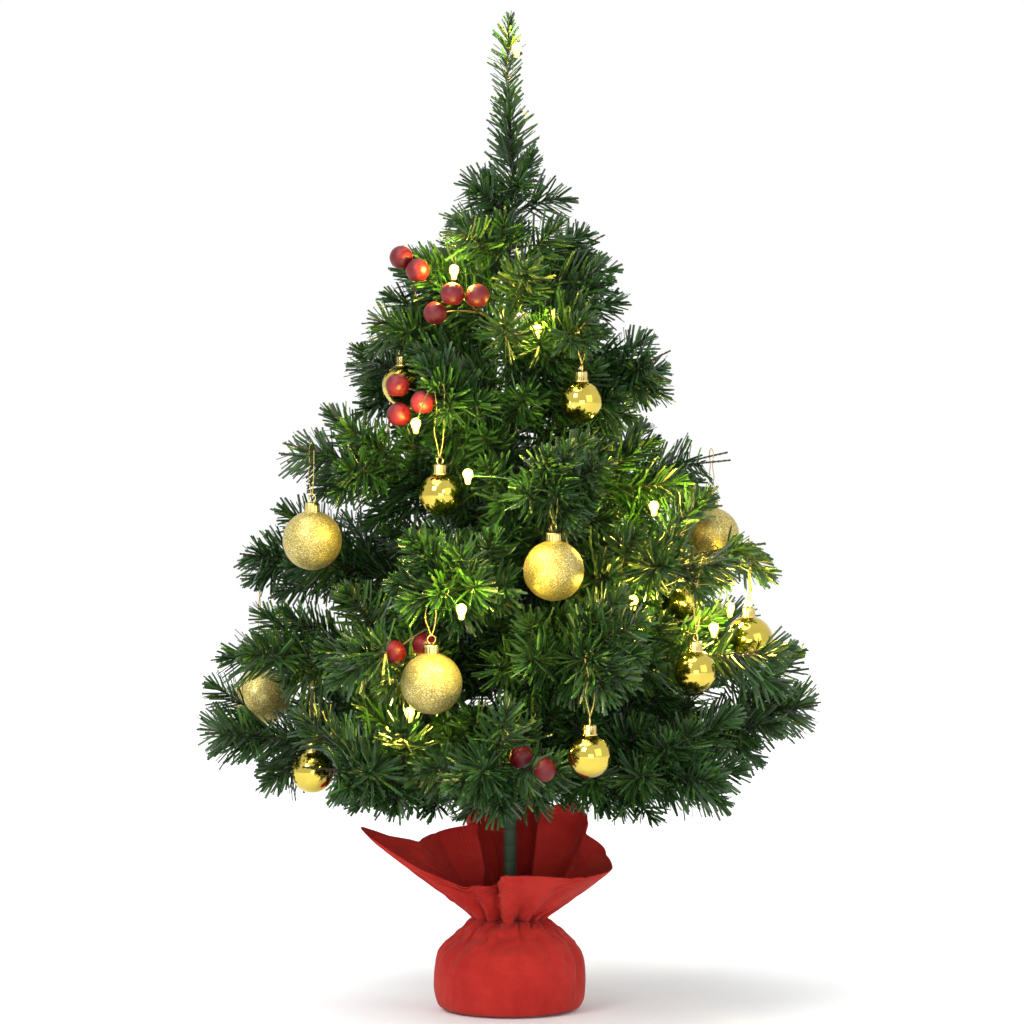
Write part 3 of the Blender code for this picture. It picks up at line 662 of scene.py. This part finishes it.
def brush_piece(name, body, wires, rng, finishes, room, replaced=None):
    """All the needles and wires that move with one body. Each wire: path, needle length, bare share, density."""
    keep_out, shown = room
    shape = Shape()
    for path, length, start_share, density in wires:
        batch = needle_batch(path, rng, length, start_share, density)
        if batch is not None:
            roots, directions, grown, droop = batch
            tips = roots + unit(directions) * grown[:, None] + droop
            free = inside_crown(tips)
            for share in (0.25, 0.5, 0.75, 1.0):
                spot = roots * (1 - share) + tips * share
                free &= clear_of(spot, keep_out) & ~in_front(spot, shown)
            count = int(free.sum())
            if count:
                shade = np.clip(rng.beta(2.0, 2.6, count), 0.01, 0.99) * 0.88
                widths = NEEDLE_WIDTH * rng.uniform(0.85, 1.15, count)
                rolls = rng.uniform(0, 2 * np.pi, count)
                blades = blade_set(roots[free], directions[free], grown[free], widths, droop[free], rolls, shade)
                shape.add(blades[0], blades[1], 0, blades[2])
        tube(shape, path, 0.0007, 4, 1, len(path) * 1.1, (0.92, 0.98))
    item = shape.build(name, finishes, body, smooth=False, uv_names=("Shade", "OFBake"))
    if replaced:
        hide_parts(replaced)


def filler_paths(branch, rng, count, size):
    """Side sprays that leave a stem up, down and sideways, which fill the brush out."""
    paths = []
    for order in range(count):
        along = 0.18 + 0.76 * (order + rng.random()) / count
        start = stem_point(branch, along)
        turn = branch["azimuth"] + rng.choice((-1, 1)) * rng.uniform(12, 62)
        rise = rng.uniform(0.45, 1.7) if order % 5 < 3 else -rng.uniform(0.25, 1.1)
        length = size * rng.uniform(0.75, 1.15) * (1.15 - 0.42 * along) * (1.0 if rise > 0 else 0.7)
        out = (heading(turn) + up(rise)).normalized()
        middle = start + out * length * 0.5
        end = middle + (out + heading(branch["azimuth"]) * 0.45).normalized() * length * 0.5
        paths.append([start, middle, end])
    return paths


def pole_sprays(rng):
    """Short sprays wound on the pole between the tiers."""
    paths = []
    low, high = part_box("battery_box")
    for order in range(POLE_SPRAYS):
        height = 0.136 + 0.352 * order / (POLE_SPRAYS - 1)
        out = heading(order * GOLDEN_TURN + rng.uniform(-15, 15))
        length = np.interp(height, POLE_SPRAY_HEIGHTS, POLE_SPRAY_LENGTHS) * rng.uniform(0.8, 1.15)
        rise = rng.uniform(0.25, 0.85)
        start = out * POLE_RADIUS + up(height)
        middle = start + (out + up(rise)).normalized() * length * 0.5
        end = middle + (out + up(rise * 0.5)).normalized() * length * 0.5
        behind_box = out.y > 0.25 and low.z - 0.045 < height < high.z + 0.004
        if not behind_box:
            paths.append([start, middle, end])
    for azimuth, height, length, rise in BERRY_SPRAYS:
        start = heading(azimuth) * POLE_RADIUS + up(height)
        out = (heading(azimuth) + up(rise)).normalized()
        paths.append([start, start + out * length * 0.5, start + out * length])
    return paths


def make_brushes(branches, room):
    """room holds the balls that needles stay out of, and the discs that they leave free in front."""
    finishes = [needle_material(), wire_core_material()]
    for order, (body, branch) in enumerate(sorted(branches.items())):
        rng = np.random.default_rng(100 + order)
        tier = int(body[7])
        length = NEEDLE_LENGTH * (1.0 if tier < 4 else 0.95 if tier < 6 else 0.85)
        wires = [(smooth_path(stem_path(branch), WIRE_STEP), length, 0.12, NEEDLES_PER_MM)]
        for signed in OWN_TWIGS.get(body, TIER_TWIGS[tier]):
            wires.append((smooth_path(twig_path(branch, signed), WIRE_STEP), length * 0.94, 0.06, NEEDLES_PER_MM))
        for path in filler_paths(branch, rng, FILLERS[tier], FILLER_LENGTH[tier]):
            path = smooth_path(path, WIRE_STEP)
            if fits(path, room):
                wires.append((path, length * 0.92, 0.08, FILLER_DENSITY))
        brush_piece(body + "_brush", body, wires, rng, finishes, room, body)
    rng = np.random.default_rng(80)
    paths = [smooth_path(path, WIRE_STEP) for path in pole_sprays(rng)]
    wires = [(path, NEEDLE_LENGTH * 0.95, 0.10, FILLER_DENSITY) for path in paths if fits(path, room)]
    brush_piece("trunk_sprays", "base", wires, rng, finishes, room)
    make_leader(finishes, room)


def make_leader(finishes, room):
    """The top brush: long needles low down, short ones above, and three twigs."""
    root = Vector(JOINTS["leader_bend"]["pos_m"])
    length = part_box("leader_brush")[1].z - root.z
    sway = [(0.0016 * math.sin(6 * t), 0.001 * math.sin(4 * t), length * 0.975 * t) for t in np.linspace(0, 1, 8)]
    spine = smooth_path([root + Vector(step) for step in sway], WIRE_STEP)
    wires = [
        (spine[: int(len(spine) * 0.66)], 0.0190, 0.02, 2.2),
        (spine[int(len(spine) * 0.48) :], 0.0125, 0.02, 1.9),
    ]
    for share, azimuth, size in LEADER_TWIGS:
        start = root + up(length * share)
        out = heading(azimuth) * size
        path = [start, start + out * 0.4 + up(size * 0.4), start + out * 0.62 + up(size * 0.9)]
        wires.append((smooth_path(path, WIRE_STEP), 0.0150, 0.05, 2.6))
    rng = np.random.default_rng(90)
    brush_piece("leader_needles", "leader", wires, rng, finishes, room, "leader_brush")


# Ornaments


def bauble_spots(branches):
    """For each bauble: where its thread hangs, its centre and radius, and its branch's azimuth."""
    spots = {}
    for node, body, along, radius, _ in BAUBLES:
        hang = stem_point(branches[body], along)
        low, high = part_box(node)
        centre = Vector(((low.x + high.x) / 2, (low.y + high.y) / 2, low.z + radius))
        spots[node] = (hang, centre, radius, branches[body]["azimuth"])
    return spots


def ball_profile(radius, neck_radius, steps=28):
    neck = math.asin(neck_radius / radius)
    rows = []
    for step in range(steps + 1):
        angle = math.pi - (math.pi - neck) * step / steps
        rows.append((max(radius * math.sin(angle), 0.00005), radius * math.cos(angle)))
    return rows


def make_bauble(node, spot, glitter, finishes, rng):
    """A ball with its crimped or ribbed cap, wire ring and thread."""
    hang, centre, radius, azimuth = spot
    shape = Shape()
    lathe(shape, ball_profile(radius, CAP_RADIUS * 0.9), 48, centre, 0)
    seat = radius * math.cos(math.asin(CAP_RADIUS / radius))
    top = seat + CAP_HEIGHT
    if glitter:
        wall = ((0.92, -0.0010), (1.06, -0.0004), (1.02, 0.0006), (1.00, 0.0030))
        lid, crown = ((0.98, -0.0016), (0.86, -0.0009), (0.40, -0.0004)), -0.0003
        flutes, ring_size, wire, turn = (15, 0.055, (1, 2, 3, 4)), 0.0024, 0.00042, 35
    else:
        wall = ((0.95, -0.0010), (1.10, -0.0003), (1.10, 0.0004), (0.90, 0.0009))
        lid, crown = ((0.90, -0.0010), (0.80, -0.0003), (0.30, 0.0)), 0.0
        flutes, ring_size, wire, turn = (12, 0.050, (3, 4)), 0.0022, 0.00060, 70
    rows = [(CAP_RADIUS * share, seat + rise) for share, rise in wall]
    rows += [(CAP_RADIUS * share, top + rise) for share, rise in lid] + [(0.0001, top + crown)]
    lathe(shape, rows, 60, centre, 1, *flutes)
    ring(shape, centre + up(top + ring_size * 0.8), azimuth + turn, ring_size, wire, 1)
    item = shape.build(node + "_ball", finishes, node)
    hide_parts(node)
    make_loop(node, hang, centre + up(top + ring_size * 1.6), azimuth, finishes[2], rng)


def make_loop(node, hang, eye, azimuth, finish, rng):
    """The thread that goes from the ring over the brush and back, with the slack that a tied thread keeps."""
    across = heading(azimuth + 90)
    out = heading(azimuth)
    rise = hang.z - eye.z
    top = hang + up(BRUSH_RADIUS + 0.0012)
    bulge = rng.uniform(0.0016, 0.0034)
    kink = rng.uniform(-0.0015, 0.0015)
    points = [
        eye,
        eye + across * bulge * 0.7 + out * kink + up(rise * 0.22),
        eye + across * bulge + out * kink + up(rise * 0.5),
        eye + across * bulge * 0.8 - out * kink + up(rise * 0.8),
        hang + across * 0.0030,
        top + across * 0.0012,
        top - across * 0.0012 + out * 0.0005,
        hang - across * 0.0030 + out * 0.0006,
        eye - across * bulge * 0.5 + out * (kink + 0.0010) + up(rise * 0.72),
        eye - across * bulge * 1.1 + out * 0.0012 + up(rise * 0.42),
        eye - across * bulge * 0.4 + out * 0.0008 + up(rise * 0.15),
        eye + out * 0.0006,
    ]
    path = smooth_path(points, 0.0016)
    curve = bpy.data.curves.new(node + "_loop", "CURVE")
    curve.dimensions = "3D"
    curve.bevel_depth = 0.00030
    curve.bevel_resolution = 2
    curve.use_fill_caps = True
    spline = curve.splines.new("POLY")
    spline.points.add(len(path) - 1)
    for knot, point in zip(spline.points, path):
        knot.co = (*point, 1.0)
    curve.materials.append(finish)
    item = add_object(node + "_loop", curve)
    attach(item, node)


def make_baubles(branches):
    spots = bauble_spots(branches)
    glitter = glitter_material()
    cap = polished_material("gold_cap", (0.80, 0.62, 0.22), 0.22, 0.25)
    shiny = polished_material("gold_mirror", (0.66, 0.52, 0.09), 0.07, 0.10)
    thread = thread_material("gold_thread", (0.36, 0.25, 0.05), (0.85, 0.66, 0.20), 0.5)
    for order, node in enumerate(spots):
        rng = np.random.default_rng(300 + order)
        rough = node.startswith("glitter")
        make_bauble(node, spots[node], rough, [glitter if rough else shiny, cap, thread], rng)
    return spots


def sprig_points(branches):
    """For each sprig: the body it rides, the foot of its pick and its berries' centres."""
    found = {}
    for node, body, along, shares in SPRIGS:
        offsets = [Vector(share) * CROWN_RADIUS for share in shares]
        if body:
            side = -1 if offsets[0].z < -BERRY_RADIUS else 1
            base = stem_point(branches[body], along) + up(side * (BRUSH_RADIUS + PICK_LIFT))
        else:
            base = heading(TRUNK_SPRIG_AZIMUTH) * 0.0037 + up(TRUNK_SPRIG_HEIGHT)
        found[node] = (body or "base", base, [base + offset for offset in offsets])
    return found


def berry_profile():
    """Half outline of a berry, dented where the pick enters."""
    rows = []
    for step in range(21):
        angle = math.pi * (1 - step / 20)
        radius = BERRY_RADIUS * math.sin(angle)
        height = BERRY_RADIUS * math.cos(angle)
        if step < 3:
            height += BERRY_RADIUS * 0.05 * (3 - step)
        rows.append((max(radius, 0.00005), height))
    return rows


def make_sprigs(branches):
    berry = mottled("berry_skin", (0.080, 0.002, 0.005), (0.125, 0.004, 0.008), 90.0, 0.42, 0.12, 1400.0)
    fill_in(berry.node_tree.nodes["Principled BSDF"], {"Specular IOR Level": 0.35})
    pick = mottled("pick_wire", (0.030, 0.022, 0.012), (0.070, 0.060, 0.025), 200.0, 0.55, 0.3)
    points = sprig_points(branches)
    for node, (body, base, berries) in points.items():
        shape = Shape()
        fork = base.lerp(sum(berries, Vector()) / len(berries), 0.55)
        for centre in berries:
            lathe(shape, berry_profile(), 36, centre, 0)
            tube(shape, smooth_path([fork, fork.lerp(centre, 0.5) + up(0.0012), centre], 0.003), 0.0006, 6, 1)
        tube(shape, smooth_path([base, fork], 0.003), 0.0007, 6, 1)
        item = shape.build(node + "_berries", [berry, pick], body)
        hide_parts(node)
    return points


# Lights


BULB_PROFILE = (
    (0.0009, -0.0050), (0.0015, -0.0044), (0.0018, -0.0020), (0.0026, -0.0006), (0.0030, 0.0008), (0.0027, 0.0024),
    (0.0016, 0.0036), (0.0003, 0.0041),
)


def light_run(branch, spot):
    """The wire that winds along a branch, or leaves the pole, and ends at its bulb."""
    if branch is None:
        foot = up(spot.z - 0.012)
        out = Vector((spot.x, spot.y, 0)).normalized()
        return [foot + out * 0.0045, foot.lerp(spot, 0.5) + up(0.004), spot]
    nearest = min(np.linspace(0.05, 1.0, 40), key=lambda t: (stem_point(branch, t) - spot).length)
    run = []
    for t in np.linspace(0.04, nearest, 24):
        angle = t * 26
        swing = heading(branch["azimuth"] + 90) * math.cos(angle) + up(math.sin(angle))
        run.append(stem_point(branch, t) + swing * 0.0022)
    return [*run, stem_point(branch, nearest).lerp(spot, 0.5) + up(0.003), spot]


def make_lights(branches):
    wire = mottled("light_wire_green", (0.012, 0.045, 0.015), (0.028, 0.080, 0.028), 150.0, 0.45)
    for order, (body, place, power) in enumerate(LIGHTS):
        spot = Vector(place)
        shape = Shape()
        tube(shape, smooth_path(light_run(branches.get(body), spot), 0.002), 0.00035, 5, 1)
        lathe(shape, BULB_PROFILE, 20, spot, 0)
        glow = bulb_material(f"warm_bulb_{order}", 1.9 * max(power, 0.8))
        item = shape.build(f"light_{order + 1}", [glow, wire], body)
        lamp_data = bpy.data.lights.new(f"glow_{order + 1}", "POINT")
        lamp_data.energy = 0.55 * power
        lamp_data.color = (1.0, 0.76, 0.10)
        lamp_data.shadow_soft_size = 0.004
        lamp = add_object(f"glow_{order + 1}", lamp_data)
        lamp.location = spot + Vector((0, -0.008, 0.003))
        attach(lamp, body)


# Cloth, as a strip sewn round the foot

AROUND = 0.330  # the strip's width, once round the foot
UNDER = 0.038  # how much of it goes under the cup
CLOTH_SPOKES = 176
BAG_ROWS, COLLAR_ROWS = 36, 31
NECK_RADIUS = 0.0222
NECK_HEIGHT = 0.0545
# Up the cloth from where it turns in under the cup: distance, radius, height
BAG = (
    (0.000, 0.0380, 0.0006), (0.006, 0.0425, 0.0022), (0.013, 0.0452, 0.0080), (0.026, 0.0464, 0.0200),
    (0.041, 0.0458, 0.0345), (0.051, 0.0412, 0.0435), (0.061, 0.0320, 0.0495), (0.074, NECK_RADIUS, NECK_HEIGHT),
)
# The free edge: azimuth, length above the tie, and how far it leans out at the tie and at the edge in degrees
EDGE = (
    (172, 0.058, 34, 38), (181, 0.070, 44, 46), (188, 0.092, 52, 52), (196, 0.070, 54, 50), (204, 0.050, 52, 46),
    (214, 0.030, 46, 34), (228, 0.025, 34, 14), (246, 0.026, 28, 8), (254, 0.033, 28, 16), (262, 0.036, 30, 26),
    (275, 0.037, 34, 34), (300, 0.044, 46, 50), (320, 0.052, 54, 56), (338, 0.055, 56, 54), (350, 0.054, 50, 40),
    (10, 0.061, 38, 22), (34, 0.076, 30, 16), (46, 0.068, 26, 12), (62, 0.074, 24, 10), (78, 0.078, 24, 16),
    (90, 0.066, 20, 14), (102, 0.076, 20, 10), (120, 0.078, 24, 10), (134, 0.074, 24, 12), (142, 0.060, 24, 16),
    (152, 0.057, 28, 30),
)
# Valleys of the collar: azimuth, width in degrees, depth as a share of the radius
VALLEYS = ((250, 6, 0.45), (48, 8, 0.42), (88, 7, 0.62), (142, 6, 0.42), (217, 7, 0.20), (8, 8, 0.12))
# Folds pressed into the bag: azimuth at the tie and at the lower end, width in degrees, depth, how far down it runs
FOLDS = (
    (258, 250, 15, 0.0050, 0.020), (281, 286, -12, 0.0034, 0.044), (296, 306, -13, 0.0030, 0.040),
    (206, 203, 11, 0.0028, 0.040), (226, 222, 12, 0.0022, 0.038), (338, 333, 18, 0.0046, 0.010),
    (22, 28, -14, 0.0034, 0.028), (75, 70, 14, 0.0036, 0.024), (120, 128, -14, 0.0034, 0.032),
    (165, 168, 13, 0.0036, 0.018),
)
PLEATS = 15
PLEAT_DEPTH = 0.0095
TIE_THREAD = 0.00045
SIM_FRAMES = 9
SIM_SCALE = 10.0  # the cloth solver works best on metre-sized cloth
CLOTH_SOLVER = {"quality": 5, "mass": 0.25, "air_damping": 3, "bending_damping": 1, "vertex_group_mass": "held"}
CLOTH_SOLVER |= {f"{way}_damping": 12 for way in ("tension", "compression", "shear")}
CLOTH_SOLVER |= {"tension_stiffness": 30, "compression_stiffness": 30, "shear_stiffness": 8, "bending_stiffness": 5}


def edge_value(azimuths, column):
    """One column of EDGE, read round the whole neck."""
    turns = np.array([row[0] for row in EDGE]) % 360
    order = np.argsort(turns)
    values = np.array([row[column] for row in EDGE])[order]
    turns = turns[order]
    turns = np.concatenate([[turns[-1] - 360], turns, [turns[0] + 360]])
    return np.interp(azimuths, turns, np.concatenate([[values[-1]], values, [values[0]]]))


def furrow(azimuths, centre, width):
    away = (azimuths - centre + 180) % 360 - 180
    return np.exp(-((away / width) ** 2))


def press_folds(places):
    """Lays one-sided folds into the bag: steep on one side, and running out flat on the other."""
    neck = BAG[-1][0]
    for row in range(BAG_ROWS + 1):
        up = neck * row / BAG_ROWS
        azimuths = np.degrees(np.arctan2(places[row, :, 1], places[row, :, 0]))
        radius = np.linalg.norm(places[row, :, :2], axis=1)
        depth = np.zeros(CLOTH_SPOKES)
        ease = min((neck - up) / 0.020, 1.0)
        for top, bottom, width, deep, lowest in FOLDS:
            share = np.clip((up - lowest) / (neck - lowest), 0, 1)
            away = (azimuths - (bottom + (top - bottom) * share) + 180) % 360 - 180
            gentle, steep = abs(width), abs(width) / 5
            behind = away * math.copysign(1, width) < 0
            depth += deep * min(share * 4, 1.0) * np.exp(-np.abs(away) / np.where(behind, steep, gentle))
        places[row, :, :2] *= ((radius - depth * ease * ease * (3 - 2 * ease)) / radius)[:, None]
    return places


def cloth_rows():
    """The cloth as tied, the shape it would rest in, and its flat cut, row by row up from the cup's foot."""
    azimuths = np.arange(CLOTH_SPOKES) * 360 / CLOTH_SPOKES
    angle = np.radians(azimuths)
    length = edge_value(azimuths, 1)
    lean_low = np.radians(edge_value(azimuths, 2))
    lean_high = np.radians(edge_value(azimuths, 3))
    profile = smooth_path(BAG, 0.001)
    neck = BAG[-1][0]
    warp = 0.55 * np.sin(2 * angle + 0.7) + 0.40 * np.sin(3 * angle + 2.1) + 0.25 * np.sin(5 * angle + 4.0)
    pleat = ((1 - np.cos(PLEATS * angle + 2.2 * warp)) / 2) ** 1.5
    whole = AROUND / (2 * math.pi)
    tied, rest, flat = [], [], []
    for row in range(BAG_ROWS + COLLAR_ROWS + 1):
        inner = neck * min(row / BAG_ROWS, 1.0)
        share = max(row - BAG_ROWS, 0) / COLLAR_ROWS
        beyond = length * share
        lean = lean_low + (lean_high - lean_low) * share * 0.5
        radius = np.interp(inner, profile[:, 0], profile[:, 1]) + beyond * np.sin(lean)
        height = np.interp(inner, profile[:, 0], profile[:, 2]) + beyond * np.cos(lean)
        near = max(inner - 0.042, 0) / (neck - 0.042)
        depth = pleat * PLEAT_DEPTH * near**1.4 * np.exp(-beyond / 0.018)
        for centre, width, deep in VALLEYS:
            depth = depth + radius * deep * np.minimum(beyond / 0.030, 1.0) * furrow(azimuths, centre, width)
        radius = np.maximum(radius - depth, 0.0075)
        place = np.stack([radius * np.cos(angle), radius * np.sin(angle), height], axis=1)
        tied.append(place)
        level = np.full(CLOTH_SPOKES, inner)
        rest.append(np.stack([whole * np.cos(angle), whole * np.sin(angle), level], axis=1) if share == 0 else place)
        flat.append(np.stack([angle * whole, inner + beyond], axis=1))
    area = AROUND * (UNDER + neck + float(length.mean()))
    return np.array(tied), np.array(rest), np.array(flat), area


def plain_object(name, points, faces):
    mesh = bpy.data.meshes.new(name)
    mesh.from_pydata([tuple(point) for point in points], [], faces)
    return add_object(name, mesh)


def settle(tied, rest):
    """Lets the tied cloth find its own folds over the cup, held at its foot and at the tie."""
    rows = len(tied)
    item = plain_object("cloth_trial", tied.reshape(-1, 3) * SIM_SCALE, band_faces(rows, CLOTH_SPOKES))
    item.shape_key_add(name="Basis")
    relaxed = item.shape_key_add(name="Rest")
    relaxed.data.foreach_set("co", (rest.reshape(-1, 3) * SIM_SCALE).astype(np.float32).ravel())
    held = item.vertex_groups.new(name="held")
    for row in range(rows):
        firm = row < 4 or abs(row - BAG_ROWS) < 2
        weight = 1.0 if firm else 0.5 if row > BAG_ROWS else 0.02
        held.add(list(range(row * CLOTH_SPOKES, (row + 1) * CLOTH_SPOKES)), weight, "REPLACE")
    low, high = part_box("base_cup")
    cup = Shape()
    sides = [(high.x + 0.0003, 0.001), (high.x + 0.0003, high.z), (0.0045, high.z + 0.001), (0.0045, 0.2)]
    lathe(cup, sides, 48, (0, 0, 0))
    solid = plain_object("cup_trial", np.vstack(cup.points) * SIM_SCALE, cup.faces)
    solid.modifiers.new("Collision", "COLLISION")
    solid.collision.thickness_outer = 0.008
    cloth = item.modifiers.new("Cloth", "CLOTH")
    for name, value in CLOTH_SOLVER.items():
        setattr(cloth.settings, name, value)
    cloth.settings.rest_shape_key = relaxed
    cloth.settings.effector_weights.gravity = 0.05
    contact = cloth.collision_settings
    contact.use_self_collision = True
    contact.self_distance_min = 0.009
    contact.distance_min = 0.008
    contact.collision_quality = 2
    cloth.point_cache.frame_start = 1
    cloth.point_cache.frame_end = SIM_FRAMES
    scene = bpy.context.scene
    for number in range(1, SIM_FRAMES + 1):
        scene.frame_set(number)
    made = item.evaluated_get(bpy.context.evaluated_depsgraph_get()).to_mesh()
    result = np.empty(len(made.vertices) * 3)
    made.vertices.foreach_get("co", result)
    scene.frame_set(1)
    for used in (item, solid):
        mesh = used.data
        bpy.data.objects.remove(used)
        bpy.data.meshes.remove(mesh)
    return result.reshape(tied.shape) / SIM_SCALE


def make_cloth():
    """The gathered wrap, from its turned-in foot to its free edge."""
    tied, rest, flat, area = cloth_rows()
    places = press_folds(settle(tied, rest))
    faces = band_faces(len(places), CLOTH_SPOKES)
    turn = np.array([AROUND, 0.0])
    corners = []
    for face in faces:
        seam = face[1] % CLOTH_SPOKES == 0
        for order, index in enumerate(face):
            corners.append(tuple(flat.reshape(-1, 2)[index] + (turn if seam and order in (1, 2) else 0)))
    shape = Shape()
    shape.add(places.reshape(-1, 3), faces, 0, corners)
    foot = np.vstack([places[0], [[0, 0, BAG[0][2]]]])
    fan = [(CLOTH_SPOKES, (k + 1) % CLOTH_SPOKES, k) for k in range(CLOTH_SPOKES)]
    shape.add(foot, fan, 0, [tuple(foot[index][:2]) for face in fan for index in face])
    item = shape.build("cloth_wrap", [cloth_material()], "base", True, ("Weave",))
    finer = item.modifiers.new("Finer", "SUBSURF")
    finer.levels = finer.render_levels = 1
    thicken = item.modifiers.new("Thickness", "SOLIDIFY")
    thicken.thickness = 0.0006
    thicken.offset = 0.0
    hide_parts("fabric_wrap")
    make_tie(places[BAG_ROWS])


def make_tie(neck):
    """The sewing thread that gathers the neck, drawn tight over the pleats' tops."""
    radius = np.linalg.norm(neck[:, :2], axis=1)
    pulled = np.convolve(np.concatenate([radius[-8:], radius, radius[:8]]), np.ones(17) / 17, "same")[8:-8]
    angle = np.arctan2(neck[:, 1], neck[:, 0])
    reach = np.maximum(pulled, radius) + TIE_THREAD
    path = np.stack([reach * np.cos(angle), reach * np.sin(angle), neck[:, 2] + 0.0004 * np.sin(5 * angle)], axis=1)
    shape = Shape()
    tube(shape, np.vstack([path, path[:2]]), TIE_THREAD, 6)
    finish = thread_material("red_cord", (0.05, 0.002, 0.002), (0.11, 0.004, 0.004), 0.0)
    item = shape.build("tie_thread", [finish], "base")
    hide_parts("neck_tie")


# Parts that keep their solids


def dress_nodes():
    finishes = {
        "cement_weight": mottled("cast_cement", (0.30, 0.29, 0.27), (0.52, 0.50, 0.47), 70.0, 0.9, 0.6, 500.0),
        "base_cup": mottled("cup_black", (0.018, 0.018, 0.018), (0.034, 0.034, 0.034), 60.0, 0.5, 0.15),
        "pole_sleeve": mottled("sleeve_green", (0.014, 0.075, 0.030), (0.024, 0.110, 0.045), 80.0, 0.5, 0.15),
        "trunk_pole": tape_material(),
        "light_wire": mottled("string_green", (0.012, 0.045, 0.015), (0.028, 0.080, 0.028), 150.0, 0.45),
        "battery_box": mottled("case_green", (0.012, 0.058, 0.020), (0.022, 0.085, 0.030), 45.0, 0.42, 0.25, 1600.0),
        "battery_lid": mottled("cover_green", (0.014, 0.064, 0.022), (0.026, 0.094, 0.034), 45.0, 0.42, 0.25, 1600.0),
        "battery_cell_1": mottled("cell_sleeve", (0.06, 0.06, 0.07), (0.14, 0.14, 0.15), 30.0, 0.33, 0.1, 700.0, 0.7),
        "battery_cell_2": mottled("cell_sleeve_b", (0.06, 0.06, 0.07), (0.14, 0.14, 0.15), 30.0, 0.33, 0.1, 700.0, 0.7),
        "switch_slider": mottled("slider_black", (0.010, 0.010, 0.010), (0.026, 0.026, 0.026), 120.0, 0.4, 0.2),
    }
    for node, finish in finishes.items():
        item = frame["nodes"][node]
        item.data.materials.clear()
        item.data.materials.append(finish)


# Studio


def make_camera():
    data = bpy.data.cameras.new("camera")
    data.sensor_width = SENSOR
    data.lens = SENSOR * CAMERA_DISTANCE / VIEW_WIDTH
    data.shift_y = (VIEW_CENTRE.z - CAMERA_HEIGHT) / VIEW_WIDTH
    camera = add_object("camera", data)
    camera.location = CAMERA
    camera.rotation_euler = (math.pi / 2, 0, 0)
    bpy.context.scene.camera = camera


def area_light(name, place, size, power, target=(0, 0, 0.3)):
    data = bpy.data.lights.new(name, "AREA")
    data.size = size
    data.energy = power
    item = add_object(name, data)
    item.location = place
    item.rotation_euler = (Vector(target) - Vector(place)).to_track_quat("-Z", "Y").to_euler()


def make_studio():
    floor = plain_object("floor", [(-4, -4, 0), (4, -4, 0), (4, 4, 0), (-4, 4, 0)], [(0, 1, 2, 3)])
    floor.location.z = -0.0004
    floor.data.materials.append(mottled("pale_floor", (0.90, 0.90, 0.90), (0.93, 0.93, 0.93), 2.0, 0.9))
    world = bpy.data.worlds.new("studio")
    world.use_nodes = True
    fill_in(world.node_tree.nodes["Background"], {"Color": (1.0, 1.0, 1.0, 1.0), "Strength": 1.0})
    bpy.context.scene.world = world
    area_light("key", (-1.3, -1.9, 1.7), 0.9, 31.0)
    area_light("fill", (1.6, -1.6, 0.9), 1.4, 7.0)
    area_light("front", (0.15, -1.9, 0.10), 0.8, 9.0, (0, 0, 0.06))
    data = bpy.data.lights.new("overhead", "SUN")
    data.energy = 1.3
    data.angle = math.radians(40)
    sun = add_object("overhead", data)
    sun.rotation_euler = (math.radians(12), math.radians(-14), 0)
    bpy.context.scene.view_settings.view_transform = "Standard"


def main():
    make_camera()
    branches = read_branches()
    spots = make_baubles(branches)
    sprigs = make_sprigs(branches)
    keep_out = [(centre, radius + BAUBLE_GAP) for _, centre, radius, _ in spots.values()]
    keep_out += [(centre, BERRY_RADIUS + BERRY_GAP) for _, _, berries in sprigs.values() for centre in berries]
    keep_out += [(Vector(spot), BULB_GAP) for _, spot, _ in LIGHTS]
    shown = [(spots[node][1], radius * share) for node, _, _, radius, share in BAUBLES if share]
    shown += [(Vector(spot), BULB_CLEARING) for _, spot, power in LIGHTS if power > BRIGHT]
    for node, (_, _, berries) in sprigs.items():
        if node != COVERED_SPRIG:
            shown += [(centre, BERRY_RADIUS * BERRY_SHARE) for centre in berries]
    make_brushes(branches, (keep_out, shown))
    make_lights(branches)
    make_cloth()
    dress_nodes()
    make_studio()


main()
